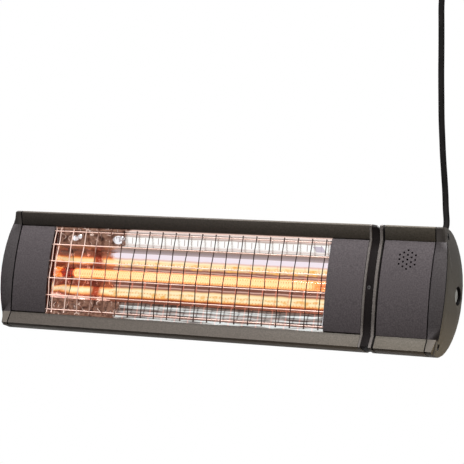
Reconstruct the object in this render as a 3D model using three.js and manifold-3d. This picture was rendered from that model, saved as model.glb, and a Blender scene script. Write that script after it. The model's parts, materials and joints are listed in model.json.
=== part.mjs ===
// Infrared bar heater for a patio wall, with its control module, tilt bracket and mains lead.
// Millimetres, +Z up, +X to the right, the front facing -Y.
// The origin is the middle of the wall plate's back face, which lies on the wall.
//
// The heater is drawn in its own frame: x from the left seam of the main extrusion,
// y the depth behind the plane of the two front edges, z from mid-height.

import * as THREE from "three";
import { mergeVertices, mergeGeometries } from "three/addons/utils/BufferGeometryUtils.js";
import Module from "manifold-3d";

const wasm = await Module();
wasm.setup();

// ---------------------------------------------------------------- driving dimensions

const fit = 0.3; // clearance between two pieces that touch

// the extruded section
const edgeHeight = 68; // from mid-height to each front edge
const crestRise = 3.9; // how much taller the section is at its crest
const bodyDepth = 65.6; // from the front edges to the back
const crestDepth = 18; // depth at which the section is tallest
const backPower = 2.3; // exponent of the superellipse that rounds the back
const stripHeight = 14.2; // height of each bevelled strip
const stripDepth = 5.8; // how far each strip falls back
const wall = 2; // wall of the extrusion
const lipReach = 4.2; // how far the seating lip stands in behind the plates
const lipThickness = 1.9;
const shoulderShare = 0.2; // where the shoulder lies between the front edge and the crest
const shoulderRise = 0.55; // share of the crest's rise that it has reached there
const edgeWall = 0.65; // wall just behind the front edge, as it tapers to it
const grooveStart = 0.9; // fine groove along the shoulders, behind the front edges
const grooveWidth = 1.3;
const grooveDepth = 0.9;
const footWall = 3.2; // room over the plate's seat before the strip's wall starts
const seatWall = 1.2;

// lengths along x
const mainLength = 452; // main extrusion
const rimThickness = 2.4; // plate that closes its right end
const spacerLength = 9.2; // black block between heater and module
const spacerInset = 1.2; // how far the block lies inside the outline
const neckDrop = 5.4; // how much lower the block is beside the module
const neckStart = 1; // length of the block before it slopes away
const moduleCapThickness = 3.2;
const sealThickness = 2.2;
const sealInset = 1.7; // how far the gasket lies inside the outline
const sealWidth = 3.4;
const moduleLength = 58;
const capLength = 18.5; // end caps at mid-height
const capSag = 8.5; // how much shorter they are at the top and bottom
const capRound = 2.7; // radius on the back edge of a cap
const roundStart = 4; // depth at which that rounding sets in
const roundGrowth = 10; // and the depth in which it grows to its full radius
const capWall = 2.4;
const capPostWall = 1; // extra wall of the screw posts inside a cap
const browStep = 2.4; // how far the strips of a cap end short of its middle
const browDepth = 6.4; // how deep that step is cut
const seamWidth = 1.1; // dark groove round the foot of each cap
const seamDepth = 1.3;

// front plates
const plateThickness = 2;
const leftPlateEnd = 46.6; // where the window starts
const rightPlateLength = 44.6; // from the window's end to the end of the extrusion
const plateShadow = 1.3; // dark line between a main plate and the strips
const modulePlateShadow = 0.4;

// sound holes
const soundPitch = 5.3;
const soundRadius = 1.15;
const soundX = 29; // from the module's left edge
const soundZ = 32.2;
const sounderRadius = 14;
const sounderThickness = 7;
const sounderBoss = 4;
const sounderPort = 2.5;

// wire guard
const wireRadius = 0.6;
const uprightPitch = 17.28;
const firstUpright = 8.6; // from the window's left edge
const edgeUpright = 2.2; // the extra upright beside the left plate
const guardCells = 5; // cells between the ends of an upright
const edgeRowInset = 3.7; // the top and bottom rows, in from the ends of the uprights
const guardTuck = 2.6; // how far the rows run on behind the plates
const wireSetBack = 3.1; // rows behind the face of the plates
const weldBite = 0.35; // how far crossing wires melt into each other

// reflector
const sheet = 0.8;
const troughRadius = 70;
const troughClear = 1.3; // from the back of the trough to the block behind it
const troughHalf = 31; // half height where the curved back meets the flat sides
const mouthHalf = 33; // half height of the trough's mouth
const mouthDepth = 11.5;
const flangeInset = 2.3; // edges of the flanges, in from the plates' edges
const endInset = 2.4; // end plates, in from the window's edges
const endOverlap = 1; // how far an end plate stands out past the trough
const endTab = 3; // how far its corners stay in from the flanges' edges
const rivetRadius = 3.4;
const rivetInset = 9; // in from the edge of the flange
const rivetPlaces = [80, 138]; // along x
const rivetHeight = 1.9;

// lamp
const lampDepth = 22;
const tubeRadius = 6;
const tubeWall = 1;
const tubeOverhang = 7; // how far the tube runs on past the reflector's ends
const baseRadius = 7.2;
const baseLength = 20;
const baseStub = 5; // how far a ceramic base reaches into the tube
const baseCollar = 8; // from the tube to the groove in a base
const baseGroove = 1.4;
const coilRadius = 3.6;
const coilWire = 0.45;
const coilCurls = 60;
const coilLeadIn = 20; // straight lead from each base to the first curl
const coilBend = 2.5; // length in which the lead rises to the coil
const holderThickness = 1.5;
const holderBrim = 5; // how far a holder stands out past the ceramic on each side
const holderLap = 3; // how far it reaches in front of the lamp's axis
const holderFoot = 12;

// screws and bosses in the corners of the section
const bossDepth = 13;
const bossInset = 7; // in from the height of the front edges
const bossRadius = 3.8;
const bossWeb = 2;
const capScrewRadius = 1.7;
const capScrewHead = 3.3;
const capScrewHeadHeight = 1.9;
const capScrewSocket = 1.4;
const capScrewLength = 18;
const headSeat = 3.4; // how deep the cap screws sit below the crowned face
const jointScrewBite = 12; // how far the joint's screws reach into the main body

// slot in the back for the bracket
const slotNeck = 6.4;
const slotWidth = 12.4;
const slotLip = 3.6; // thickness of the lips over the slot
const slotHeight = 3.6;
const slotBlock = 20;
const slotNutLength = 16;

// push button on the right end cap
const buttonDepth = 47;
const buttonZ = 0.8;
const recessRadius = 10.6;
const recessDepth = 7.4;
const recessWall = 2;
const buttonRadius = 8.6;
const buttonThickness = 3;
const buttonTravel = 1.5;
const stemRadius = 3;
const switchReach = 9; // how far the stem reaches in from the back of the button
const switchSize = 13;
const switchLength = 9;
const switchWell = 7.6;

// inside the module
const boardFromBack = 32.6; // in front of the section's back
const boardThickness = 1.6;
const wireHole = 7;
const wireHoleDepth = 26;
const wireHoleZ = -20;
const leadRadius = 1.4;
const leadBend = 5; // length in which a lead turns
const leadSplit = 2.5; // how far each lead lies from the middle of the hole
const gutterDepth = 29; // where the left lead runs along behind the reflector
const gutterInset = 2.8; // and how far it stays inside the plates' edges
const boardNotch = 2; // radius of its two holes
const boardMargin = 6; // from a hole to the board's edge
const relayStart = 8; // from the module's left edge
const relayLength = 19;
const relayHeight = 15.5;
const relayTop = 12;
const relayWidth = 16;
const blockStart = 10;
const blockLength = 30;
const blockHeight = 13;
const blockZ = -43;
const blockWidth = 14;
const portPitch = 10;
const portRadius = 2.4;
const portDepth = 8;

// bracket
const pivotFromWall = 38;
const pivotFromBack = 18;
const plateSteel = 2.5;
const wallPlateWidth = 120;
const wallPlateHeight = 60;
const earRadius = 9;
const bracketHalf = 12; // half height of the heater's bracket
const wallEarSpread = 2; // how much taller the wall plate's ears are at their roots
const wallSlotX = 38;
const wallSlotZ = 19;
const wallSlotLength = 12;
const wallSlotRadius = 3;
const boltRadius = 3;
const boltHead = 5.6;
const boltHeadHeight = 4;
const boltEnd = 1.4; // how far a bolt stands out of its nut
const nutRadius = 5.8;
const nutThickness = 5;
const washerThickness = 1.2;
const washerRadius = 6.2;
const slotNutX = 30;
const screwRadius = 2.4;
const screwHead = 4.4;
const screwHeadHeight = 3;
const screwSocket = 1.9;

// mains lead
const cordRadius = 3.6;
const glandX = 48.6; // from the module's left edge
const glandFromBack = 18.4; // in front of the section's back
const glandTilt = 45; // degrees back from upright
const glandLength = 22;
const glandThreadRadius = 6;
const glandThread = 5; // length of the thread inside the housing
const glandNutRadius = 8.6;
const glandNutHeight = 7;
const neckLength = 26;
const neckRoot = 4.4; // how much thicker than the lead the neck ends
const neckTip = 1.4; // and how much thicker it starts
const plugRadius = 19.5;
const plugThickness = 20;
const plugRim = 2;
const pinSocket = 6; // how deep the pins sit in the plug
const pinRadius = 2.4;
const pinLength = 19;
const pinPitch = 19;

// set screw in the front of the black block
const spacerScrewRadius = 2.1;
const spacerScrewDepth = 9;
const spacerScrewX = 3.4; // from the block's left side
const spacerScrewZ = -1;
const spacerScrewSocket = 1.1;

// ---------------------------------------------------------------- places worked out

const bodyHeight = edgeHeight + crestRise;
const bossZ = edgeHeight - bossInset;
const shoulder = crestDepth * shoulderShare;
const glandDepth = bodyDepth - glandFromBack;
const boardDepth = bodyDepth - boardFromBack;
const glandZ = halfHeightAt(glandDepth, 0);
const gutterZ = gutterInset - (edgeHeight - stripHeight);
const slotRoof = bodyDepth - slotLip;
const slotFloor = slotRoof - slotHeight;
const slotBack = slotFloor - wall + 0.6; // front face of the block that holds the slot
const troughDepth = slotBack - troughClear;
const rightPlateStart = mainLength - rightPlateLength;
const rimX = mainLength + fit;
const spacerX = rimX + rimThickness + fit;
const moduleCapX = spacerX + spacerLength + fit;
const sealX = moduleCapX + moduleCapThickness + fit;
const moduleX = sealX + sealThickness + fit;
const rightCapX = moduleX + moduleLength + fit;
const heaterMiddle = (rightCapX - fit) / 2;
const crownRadius = (bodyHeight ** 2 + capSag ** 2) / (2 * capSag);
const frontY = -(pivotFromWall + pivotFromBack + bodyDepth);
const plateHalf = edgeHeight - stripHeight;
const flangeHalf = plateHalf - flangeInset;
const rowPitch = (2 * flangeHalf) / guardCells;
const edgeRow = flangeHalf - edgeRowInset;
const rivetZ = flangeHalf - rivetInset;
const archRadius = (plateHalf ** 2 + stripDepth ** 2) / (2 * stripDepth);
const leftEndX = leftPlateEnd + endInset;
const rightEndX = rightPlateStart - endInset;

// ---------------------------------------------------------------- materials

const paint = (color, roughness, metalness) =>
  new THREE.MeshStandardMaterial({ color, roughness, metalness });
const anthracite = () => paint(0x55504f, 0.55, 0.3);
const blackPlastic = () => paint(0x1c1919, 0.5, 0);
const polished = () => paint(0xdcdcdc, 0.12, 1);
const wireSteel = () => paint(0x8d8480, 0.35, 1);
const steel = () => paint(0x9a9a9c, 0.35, 1);
const ceramic = () => paint(0xe6e0d4, 0.7, 0);

// ---------------------------------------------------------------- helpers

const V2 = (x, y) => new THREE.Vector2(x, y);
const V3 = (x, y, z) => new THREE.Vector3(x, y, z);

// A geometry with its shared vertices merged, as a solid for joining and cutting.
function solid(geometry) {
  const bare = geometry.clone();
  bare.deleteAttribute("normal");
  bare.deleteAttribute("uv");
  const merged = mergeVertices(bare, 1e-4);
  return new wasm.Manifold(
    new wasm.Mesh({
      numProp: 3,
      vertProperties: new Float32Array(merged.attributes.position.array),
      triVerts: new Uint32Array(merged.index.array),
    }),
  );
}

function fromSolid(body) {
  const mesh = body.getMesh();
  const geometry = new THREE.BufferGeometry();
  geometry.setAttribute("position", new THREE.BufferAttribute(mesh.vertProperties, 3));
  geometry.setIndex(new THREE.BufferAttribute(mesh.triVerts, 1));
  geometry.computeVertexNormals();
  return geometry;
}

// Start with the first geometry, add some and cut some away.
function carve(base, added, removed) {
  let body = solid(base);
  for (const extra of added) {
    body = body.add(solid(extra));
  }
  for (const cut of removed) {
    body = body.subtract(solid(cut));
  }
  return fromSolid(body);
}

// Surfaces that meet at their edges, merged into one.
function together(geometries) {
  const bare = geometries.map((geometry) => {
    const plain = geometry.index ? geometry.toNonIndexed() : geometry.clone();
    plain.deleteAttribute("normal");
    plain.deleteAttribute("uv");
    return plain;
  });
  return mergeVertices(mergeGeometries(bare), 1e-4);
}

// Turns a section drawn in (depth, height) so that it is swept along x.
const alongX = new THREE.Matrix4().makeBasis(V3(0, 1, 0), V3(0, 0, 1), V3(1, 0, 0));

function sweep(points, x, length, holes = []) {
  const turned = THREE.ShapeUtils.isClockWise(points) ? [...points].reverse() : points;
  const shape = new THREE.Shape(turned);
  shape.holes = holes;
  const geometry = new THREE.ExtrudeGeometry(shape, {
    depth: length,
    bevelEnabled: false,
    curveSegments: 10,
  });
  geometry.applyMatrix4(alongX);
  geometry.translate(x, 0, 0);
  return geometry;
}

// A block seen from the front: its outline in (x, height), its sides along the depth.
function prism(points, y0, y1) {
  const turned = THREE.ShapeUtils.isClockWise(points) ? [...points].reverse() : points;
  const shape = new THREE.Shape(turned);
  const geometry = new THREE.ExtrudeGeometry(shape, { depth: y1 - y0, bevelEnabled: false });
  geometry.applyMatrix4(new THREE.Matrix4().makeBasis(V3(1, 0, 0), V3(0, 0, 1), V3(0, -1, 0)));
  geometry.translate(0, y1, 0);
  return geometry;
}

function box(x0, x1, y0, y1, z0, z1) {
  const geometry = new THREE.BoxGeometry(x1 - x0, y1 - y0, z1 - z0);
  geometry.translate((x0 + x1) / 2, (y0 + y1) / 2, (z0 + z1) / 2);
  return geometry;
}

// Round bars along each axis, from one end to the other.
function barX(radius, x0, x1, y, z, sides = 16) {
  const geometry = new THREE.CylinderGeometry(radius, radius, x1 - x0, sides);
  geometry.rotateZ(-Math.PI / 2);
  geometry.translate((x0 + x1) / 2, y, z);
  return geometry;
}

function barY(radius, y0, y1, x, z, sides = 16) {
  const geometry = new THREE.CylinderGeometry(radius, radius, y1 - y0, sides);
  geometry.translate(x, (y0 + y1) / 2, z);
  return geometry;
}

// A turned piece: the profile is (radius, height) about +Z.
function turned(profile, sides) {
  const points = profile.map(([radius, height]) => V2(radius, height));
  const geometry = new THREE.LatheGeometry(points, sides);
  geometry.rotateX(Math.PI / 2);
  return geometry;
}

function tube(points, radius, sides, steps) {
  const section = new THREE.Shape();
  for (let i = 0; i < sides; i += 1) {
    const angle = (2 * Math.PI * i) / sides;
    const [x, y] = [radius * Math.cos(angle), radius * Math.sin(angle)];
    if (i === 0) section.moveTo(x, y);
    else section.lineTo(x, y);
  }
  section.closePath();
  return new THREE.ExtrudeGeometry(section, {
    steps,
    bevelEnabled: false,
    extrudePath: new THREE.CatmullRomCurve3(points),
  });
}

// A strip of sheet of even thickness along a chain of points in (depth, height).
function ribbon(chain, thickness) {
  const other = chain.map((point, i) => {
    const before = chain[Math.max(i - 1, 0)];
    const after = chain[Math.min(i + 1, chain.length - 1)];
    const along = after.clone().sub(before).normalize();
    return V2(point.x - along.y * thickness, point.y + along.x * thickness);
  });
  return [...chain, ...other.reverse()];
}

const circleHole = (depth, z, radius) => new THREE.Path().absarc(depth, z, radius, 0, 2 * Math.PI, true);

// ---------------------------------------------------------------- the section

// Depth of the plates' arched face at a height, set back by an offset.
const archDepth = (z, offset = 0) => archRadius - Math.sqrt((archRadius - offset) ** 2 - z * z);

// Half height of the section behind its crest, with the walls drawn in by an inset.
function halfHeightAt(depth, inset) {
  const reach = bodyDepth - inset - crestDepth;
  const share = Math.min(Math.max((depth - crestDepth) / reach, 0), 1);
  return (bodyHeight - inset) * (1 - share ** backPower) ** (1 / backPower);
}

// The curved top, back and bottom, from the top front edge round to the bottom one.
function backCurve(inset, steps = 18) {
  const reach = bodyDepth - inset - crestDepth;
  const tall = bodyHeight - inset;
  const points = [];
  for (let i = 0; i <= steps; i += 1) {
    const angle = Math.PI / 2 - (Math.PI * i) / steps;
    const depth = crestDepth + reach * Math.abs(Math.cos(angle)) ** (2 / backPower);
    points.push(V2(depth, tall * Math.sign(Math.sin(angle)) * Math.abs(Math.sin(angle)) ** (2 / backPower)));
  }
  return points;
}

// The whole outline of a cap: bevelled strips and arched face in front, curved back behind.
function capOutline(inset, archSteps = 8) {
  const edge = edgeHeight - inset;
  const half = plateHalf - inset * 0.3;
  const rise = crestRise * shoulderRise;
  const points = [V2(inset, edge), V2(shoulder + inset, edge + rise)];
  points.push(...backCurve(inset));
  points.push(V2(shoulder + inset, -edge - rise), V2(inset, -edge));
  for (let i = 0; i <= archSteps; i += 1) {
    const z = -half + (2 * half * i) / archSteps;
    points.push(V2(archDepth(z) + inset, z));
  }
  return points;
}

// The extrusion: an open C whose mouth is closed by the plates or the guard.
function shellOutline() {
  const lipZ = plateHalf - lipReach;
  const lipFront = (z) => archDepth(z, plateThickness + fit);
  const lipBack = lipFront(lipZ) + lipThickness;
  const rise = crestRise * shoulderRise;
  const onShoulder = (depth) => edgeHeight + (rise * depth) / shoulder;
  const half = (sign) => [
    V2(lipBack, sign * lipZ),
    V2(lipFront(lipZ), sign * lipZ),
    V2(lipFront(plateHalf), sign * plateHalf),
    V2(stripDepth, sign * plateHalf),
    V2(0, sign * edgeHeight),
    V2(grooveStart, sign * onShoulder(grooveStart)),
    V2(grooveStart, sign * (onShoulder(grooveStart) - grooveDepth)),
    V2(grooveStart + grooveWidth, sign * onShoulder(grooveStart + grooveWidth)),
    V2(shoulder, sign * (edgeHeight + rise)),
  ];
  const inner = (sign) => [
    V2(shoulder + wall, sign * (edgeHeight + rise - wall)),
    V2(wall + edgeWall, sign * (edgeHeight - edgeWall)),
    V2(stripDepth + wall / 2, sign * (plateHalf + footWall)),
    V2(lipBack, sign * (plateHalf + seatWall)),
  ];
  return [
    ...half(1),
    ...backCurve(0),
    ...half(-1).reverse(),
    ...inner(-1).reverse(),
    ...backCurve(wall).reverse(),
    ...inner(1),
  ];
}

// Screw bosses in the top and bottom front corners, tied to the wall by a web.
function bossParts(x, length) {
  const parts = [];
  for (const sign of [1, -1]) {
    parts.push(barX(bossRadius, x, x + length, bossDepth, sign * bossZ, 14));
    const [low, high] = [sign * bossZ, sign * (bodyHeight - wall / 2)].sort((a, b) => a - b);
    parts.push(box(x, x + length, bossDepth - bossWeb / 2, bossDepth + bossWeb / 2, low, high));
  }
  return parts;
}

const screwHoles = (x0, x1, radius) =>
  [1, -1].map((sign) => barX(radius, x0, x1, bossDepth, sign * bossZ, 12));

// ---------------------------------------------------------------- main body

function mainHousing() {
  const block = box(0, mainLength, slotBack, bodyDepth - wall / 2, -slotBlock / 2, slotBlock / 2);
  const cavity = box(-1, mainLength + 1, slotFloor, slotRoof, -slotWidth / 2, slotWidth / 2);
  const neck = box(-1, mainLength + 1, slotRoof - 0.5, bodyDepth + 1, -slotNeck / 2, slotNeck / 2);
  return carve(
    sweep(shellOutline(), 0, mainLength),
    [...bossParts(0, mainLength), block],
    [cavity, neck, ...screwHoles(-1, mainLength + 1, capScrewRadius + fit)],
  );
}

function frontPlate(x, length, shadow) {
  const half = plateHalf - shadow;
  const steps = 12;
  const face = [];
  const back = [];
  for (let i = 0; i <= steps; i += 1) {
    const z = -half + (2 * half * i) / steps;
    face.push(V2(archDepth(z), z));
    back.unshift(V2(archDepth(z, plateThickness), z));
  }
  return sweep([...face, ...back], x, length);
}

function reflectorChain() {
  const chain = [V2(lipBackDepth() + fit, flangeHalf), V2(mouthDepth, mouthHalf)];
  const centre = troughDepth - troughRadius;
  const swing = Math.asin(troughHalf / troughRadius);
  const steps = 12;
  for (let i = 0; i <= steps; i += 1) {
    const angle = swing - (2 * swing * i) / steps;
    chain.push(V2(centre + troughRadius * Math.cos(angle), troughRadius * Math.sin(angle)));
  }
  chain.push(V2(mouthDepth, -mouthHalf), V2(lipBackDepth() + fit, -flangeHalf));
  return chain;
}

const lipBackDepth = () => archDepth(plateHalf - lipReach, plateThickness + fit) + lipThickness;

function reflectorTrough() {
  const length = rightEndX - leftEndX - 2 * (sheet + fit);
  return sweep(ribbon(reflectorChain().reverse(), -sheet), leftEndX + sheet + fit, length);
}

// A polished sheet that closes one end of the trough, with a hole for the lamp.
function reflectorEnd(x) {
  const outline = [];
  const chain = reflectorChain();
  for (const point of chain.slice(1, -1)) {
    outline.push(V2(point.x + endOverlap, point.y + Math.sign(point.y) * endOverlap));
  }
  const [front, step] = [lipBackDepth() + fit, mouthDepth - endOverlap];
  const tab = flangeHalf - endTab;
  outline[0].x = step;
  outline[outline.length - 1].x = step;
  outline.push(V2(step, -tab), V2(front, -tab), V2(front, tab), V2(step, tab));
  return sweep(outline, x, sheet, [circleHole(lampDepth, 0, tubeRadius + fit)]);
}

// Two dome rivets that hold the left of the upper flange to the lip rail behind it.
function reflectorRivets() {
  const flangeTop = lipBackDepth() + fit;
  const slope = (mouthDepth - flangeTop) / (flangeHalf - mouthHalf);
  const flangeAt = (z) => flangeTop + slope * (flangeHalf - z);
  return rivetPlaces.map((x) => {
    const dome = new THREE.SphereGeometry(rivetRadius, 14, 5, 0, 2 * Math.PI, 0, Math.PI / 2);
    const base = new THREE.CircleGeometry(rivetRadius, 14);
    base.rotateX(Math.PI / 2);
    const closed = together([dome, base]);
    closed.scale(1, rivetHeight / rivetRadius, 1);
    closed.rotateX(Math.PI + Math.atan(slope));
    closed.translate(x, flangeAt(rivetZ) - fit, rivetZ);
    return closed;
  });
}

// ---------------------------------------------------------------- lamp

const tubeStart = () => leftEndX - tubeOverhang;
const tubeEnd = () => rightEndX + tubeOverhang;

function lampTube() {
  const ring = new THREE.Path().absarc(lampDepth, 0, tubeRadius - tubeWall, 0, 2 * Math.PI, true);
  const outer = new THREE.Shape().absarc(lampDepth, 0, tubeRadius, 0, 2 * Math.PI, false);
  return sweep(outer.getPoints(10), tubeStart(), tubeEnd() - tubeStart(), [ring]);
}

// The wound wire: a straight lead-in, an even helix and a straight lead-out, one unbroken tube.
function filament() {
  const start = tubeStart() + baseStub + fit;
  const end = tubeEnd() - baseStub - fit;
  const first = start + coilLeadIn;
  const last = end - coilLeadIn;
  const perCurl = 7;
  const points = [V3(start, 0, 0), V3(first - coilBend, 0, 0)];
  const turns = coilCurls * perCurl;
  for (let i = 0; i <= turns; i += 1) {
    const angle = (2 * Math.PI * i) / perCurl;
    const x = first + ((last - first) * i) / turns;
    points.push(V3(x, coilRadius * Math.cos(angle), coilRadius * Math.sin(angle)));
  }
  points.push(V3(last + coilBend, 0, 0), V3(end, 0, 0));
  const pitch = (last - first) / coilCurls;
  console.log(`filament: least gap between curls ${(pitch - 2 * coilWire).toFixed(2)} mm`);
  const fromAxis = (point) => (point.y || point.z ? V3(0, point.y, point.z) : V3(0, 1, 0));
  const wire = threaded(points, coilWire, 3, fromAxis);
  wire.translate(0, lampDepth, 0);
  return wire;
}

// A tube with a ring of points square to the path at each of its points. The rings keep one
// corner towards a direction given for each point, so the tube never twists.
function threaded(points, radius, sides, towards) {
  const positions = [];
  const index = [];
  points.forEach((point, i) => {
    const before = points[Math.max(i - 1, 0)];
    const after = points[Math.min(i + 1, points.length - 1)];
    const ahead = after.clone().sub(before).normalize();
    const outward = towards(point);
    const side = outward.clone().addScaledVector(ahead, -outward.dot(ahead)).normalize();
    const across = ahead.clone().cross(side);
    for (let k = 0; k < sides; k += 1) {
      const angle = (2 * Math.PI * k) / sides;
      const ring = point.clone().addScaledVector(side, radius * Math.cos(angle));
      ring.addScaledVector(across, radius * Math.sin(angle));
      positions.push(ring.x, ring.y, ring.z);
    }
  });
  for (let i = 0; i < points.length - 1; i += 1) {
    for (let k = 0; k < sides; k += 1) {
      const [a, b] = [i * sides + k, i * sides + ((k + 1) % sides)];
      index.push(a, b, b + sides, a, b + sides, a + sides);
    }
  }
  const far = (points.length - 1) * sides;
  for (let k = 1; k < sides - 1; k += 1) {
    index.push(0, k + 1, k, far, far + k, far + k + 1);
  }
  const geometry = new THREE.BufferGeometry();
  geometry.setAttribute("position", new THREE.Float32BufferAttribute(positions, 3));
  geometry.setIndex(index);
  return geometry;
}

// A ceramic base: a stub inside the quartz tube, a collar and a grooved body.
function lampBase(sign) {
  const stub = tubeRadius - tubeWall - fit;
  const grooveEnd = baseCollar + holderThickness + 2 * fit;
  const profile = [
    [0, -baseStub],
    [stub, -baseStub],
    [stub, fit],
    [baseRadius, fit],
    [baseRadius, baseCollar],
    [baseRadius - baseGroove, baseCollar],
    [baseRadius - baseGroove, grooveEnd],
    [baseRadius, grooveEnd],
    [baseRadius, baseLength],
    [0, baseLength],
  ];
  const geometry = turned(profile, 14);
  geometry.rotateY((sign * Math.PI) / 2);
  geometry.translate(sign > 0 ? tubeEnd() : tubeStart(), lampDepth, 0);
  return geometry;
}

// A sheet bracket that grips the groove of a ceramic base and stands on the slot block behind.
function lampHolder(sign) {
  const seat = baseCollar + fit;
  const face = sign > 0 ? tubeEnd() + seat : tubeStart() - seat - holderThickness;
  const grip = baseRadius - baseGroove + fit;
  const width = baseRadius + holderBrim;
  const footDepth = slotBack - fit;
  const front = lampDepth - holderLap;
  const outline = [
    V2(front, -width),
    V2(footDepth, -width),
    V2(footDepth, width),
    V2(front, width),
    V2(front, grip),
  ];
  const arc = 8;
  for (let i = 0; i <= arc; i += 1) {
    const angle = Math.PI / 2 - (Math.PI * i) / arc;
    outline.push(V2(lampDepth + grip * Math.cos(angle), grip * Math.sin(angle)));
  }
  outline.push(V2(front, -grip));
  const plate = sweep(outline, face, holderThickness);
  const footStart = sign > 0 ? face : face + holderThickness - holderFoot;
  const foot = box(footStart, footStart + holderFoot, footDepth - holderThickness, footDepth, -width, width);
  return carve(plate, [foot], []);
}

// ---------------------------------------------------------------- wire guard

// The rows that cross the window; two more lie near the ends of the uprights.
function rowHeights() {
  const heights = [];
  for (let cell = 1; cell < guardCells; cell += 1) {
    heights.push(cell * rowPitch - flangeHalf);
  }
  return heights;
}

// Crimped uprights welded to straight rows: each upright bows with the plates and passes
// the rows by turns before and behind, biting into each by a little weld.
function wireGuard() {
  const places = [leftPlateEnd + edgeUpright];
  for (let x = leftPlateEnd + firstUpright; x < rightPlateStart - edgeUpright; x += uprightPitch) {
    places.push(x);
  }
  const cross = 2 * wireRadius - weldBite;
  const edgeSetBack = plateThickness + wireRadius + fit;
  const uprights = places.map((x, n) => {
    const tuck = wireRadius + fit;
    const marks = [[-flangeHalf, tuck], [-edgeRow, edgeSetBack - cross]];
    rowHeights().forEach((z, i) => marks.push([z, wireSetBack + ((i + n) % 2 === 0 ? cross : -cross)]));
    marks.push([edgeRow, edgeSetBack - cross], [flangeHalf, tuck]);
    const points = marks.map(([z, offset]) => V3(x, archDepth(z, offset), z));
    return threaded(points, wireRadius, 4, () => V3(1, 0, 0));
  });
  const heights = [-edgeRow, ...rowHeights(), edgeRow];
  const rows = heights.map((z) => {
    const depth = archDepth(z, Math.abs(z) === edgeRow ? edgeSetBack : wireSetBack);
    return barX(wireRadius, leftPlateEnd - guardTuck, rightPlateStart + guardTuck, depth, z, 4);
  });
  return carve(uprights[0], [...uprights.slice(1), ...rows], []);
}

// ---------------------------------------------------------------- joint to the module

const jointHoles = () => [
  circleHole(wireHoleDepth, wireHoleZ, wireHole),
  circleHole(bossDepth, bossZ, capScrewRadius + fit),
  circleHole(bossDepth, -bossZ, capScrewRadius + fit),
];

const endPlate = (x, thickness, inset) => sweep(capOutline(inset), x, thickness, jointHoles());

// The black block, which slopes away at the top and bottom towards the module.
function jointSpacer() {
  const body = sweep(capOutline(spacerInset), spacerX, spacerLength, jointHoles());
  const [top, end] = [bodyHeight - spacerInset, spacerX + spacerLength];
  const slopes = [1, -1].map((sign) => {
    const slope = [
      [spacerX + neckStart, top],
      [end, top - neckDrop],
      [end + 1, top - neckDrop],
      [end + 1, top + 1],
      [spacerX + neckStart, top + 1],
    ];
    return prism(slope.map(([x, z]) => V2(x, sign * z)), -1, bodyDepth + 1);
  });
  const pocketX = spacerX + spacerScrewX;
  const pocket = barY(spacerScrewRadius + fit, -1, spacerScrewDepth + fit, pocketX, spacerScrewZ, 12);
  return carve(body, [], [pocket, ...slopes]);
}

// Set screw in the front of the spacer, with a socket in its face.
function spacerScrew() {
  const x = spacerX + spacerScrewX;
  const front = spacerInset + fit;
  const screw = barY(spacerScrewRadius, front, spacerScrewDepth, x, spacerScrewZ, 12);
  const socket = barY(spacerScrewSocket, front - 1, front + 2 * spacerScrewSocket, x, spacerScrewZ, 6);
  return carve(screw, [], [socket]);
}

// Long screws from the module's left cap into the bosses of the main body.
function jointScrews() {
  const head = moduleCapX + moduleCapThickness + fit;
  return [1, -1].map((sign) => {
    const shank = barX(capScrewRadius, mainLength - jointScrewBite, head + 0.5, bossDepth, sign * bossZ, 12);
    const cap = barX(capScrewHead, head, head + capScrewHeadHeight, bossDepth, sign * bossZ, 14);
    return carve(shank, [cap], []);
  });
}

// A black gasket set in a little from the outline, with room for the screw heads.
function moduleSeal() {
  const opening = new THREE.Path(backCurve(sealWidth + sealInset));
  const ring = sweep(capOutline(sealInset), sealX, sealThickness, [opening]);
  const heads = [1, -1].map((sign) =>
    barX(capScrewHead + fit, sealX - 1, sealX + sealThickness + 1, bossDepth, sign * bossZ, 14),
  );
  return carve(ring, [], heads);
}

// ---------------------------------------------------------------- control module

function moduleHousing() {
  const gland = glandShape(glandThreadRadius + fit, -glandThread - wall, glandThread);
  return carve(
    sweep(shellOutline(), moduleX, moduleLength),
    bossParts(moduleX, moduleLength),
    [gland, ...screwHoles(moduleX - 1, moduleX + moduleLength + 1, capScrewRadius + fit)],
  );
}

// The nineteen sound holes: rows of three, four, five, four and three on a triangular pitch.
function soundHoles() {
  const holes = [];
  const centreX = moduleX + soundX;
  for (let column = -2; column <= 2; column += 1) {
    const count = 5 - Math.abs(column);
    for (let i = 0; i < count; i += 1) {
      const x = centreX + column * soundPitch * Math.sin(Math.PI / 3);
      const z = soundZ + (i - (count - 1) / 2) * soundPitch;
      holes.push(barY(soundRadius, -2, 12, x, z, 8));
    }
  }
  return holes;
}

const modulePlate = () => carve(frontPlate(moduleX, moduleLength, modulePlateShadow), [], soundHoles());

// Sounder: a flat drum with a port in its face, seated behind the holes.
function sounder() {
  const x = moduleX + soundX;
  const front = archDepth(soundZ + sounderRadius, plateThickness) + fit;
  const back = front + sounderThickness;
  return carve(
    barY(sounderRadius, front, back, x, soundZ, 24),
    [barY(sounderBoss, back - 0.5, back + sounderBoss / 2, x, soundZ, 12)],
    [barY(sounderPort, front - 1, front + sounderPort, x, soundZ, 10)],
  );
}

function controlBoard() {
  const half = halfHeightAt(boardDepth + boardThickness, wall) - fit;
  const [x0, x1] = [moduleX + 2 * wall, moduleX + moduleLength - wall];
  const back = boardDepth + boardThickness;
  const hole = (z) => barY(boardNotch, boardDepth - 1, back + 1, (x0 + x1) / 2, z, 10);
  const holes = [hole(half - boardMargin), hole(boardMargin - half)];
  return carve(box(x0, x1, boardDepth, back, -half, half), [], holes);
}

function relay() {
  const back = boardDepth - fit;
  const x = moduleX + relayStart;
  return box(x, x + relayLength, back - relayHeight, back, relayTop - relayWidth, relayTop);
}

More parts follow.
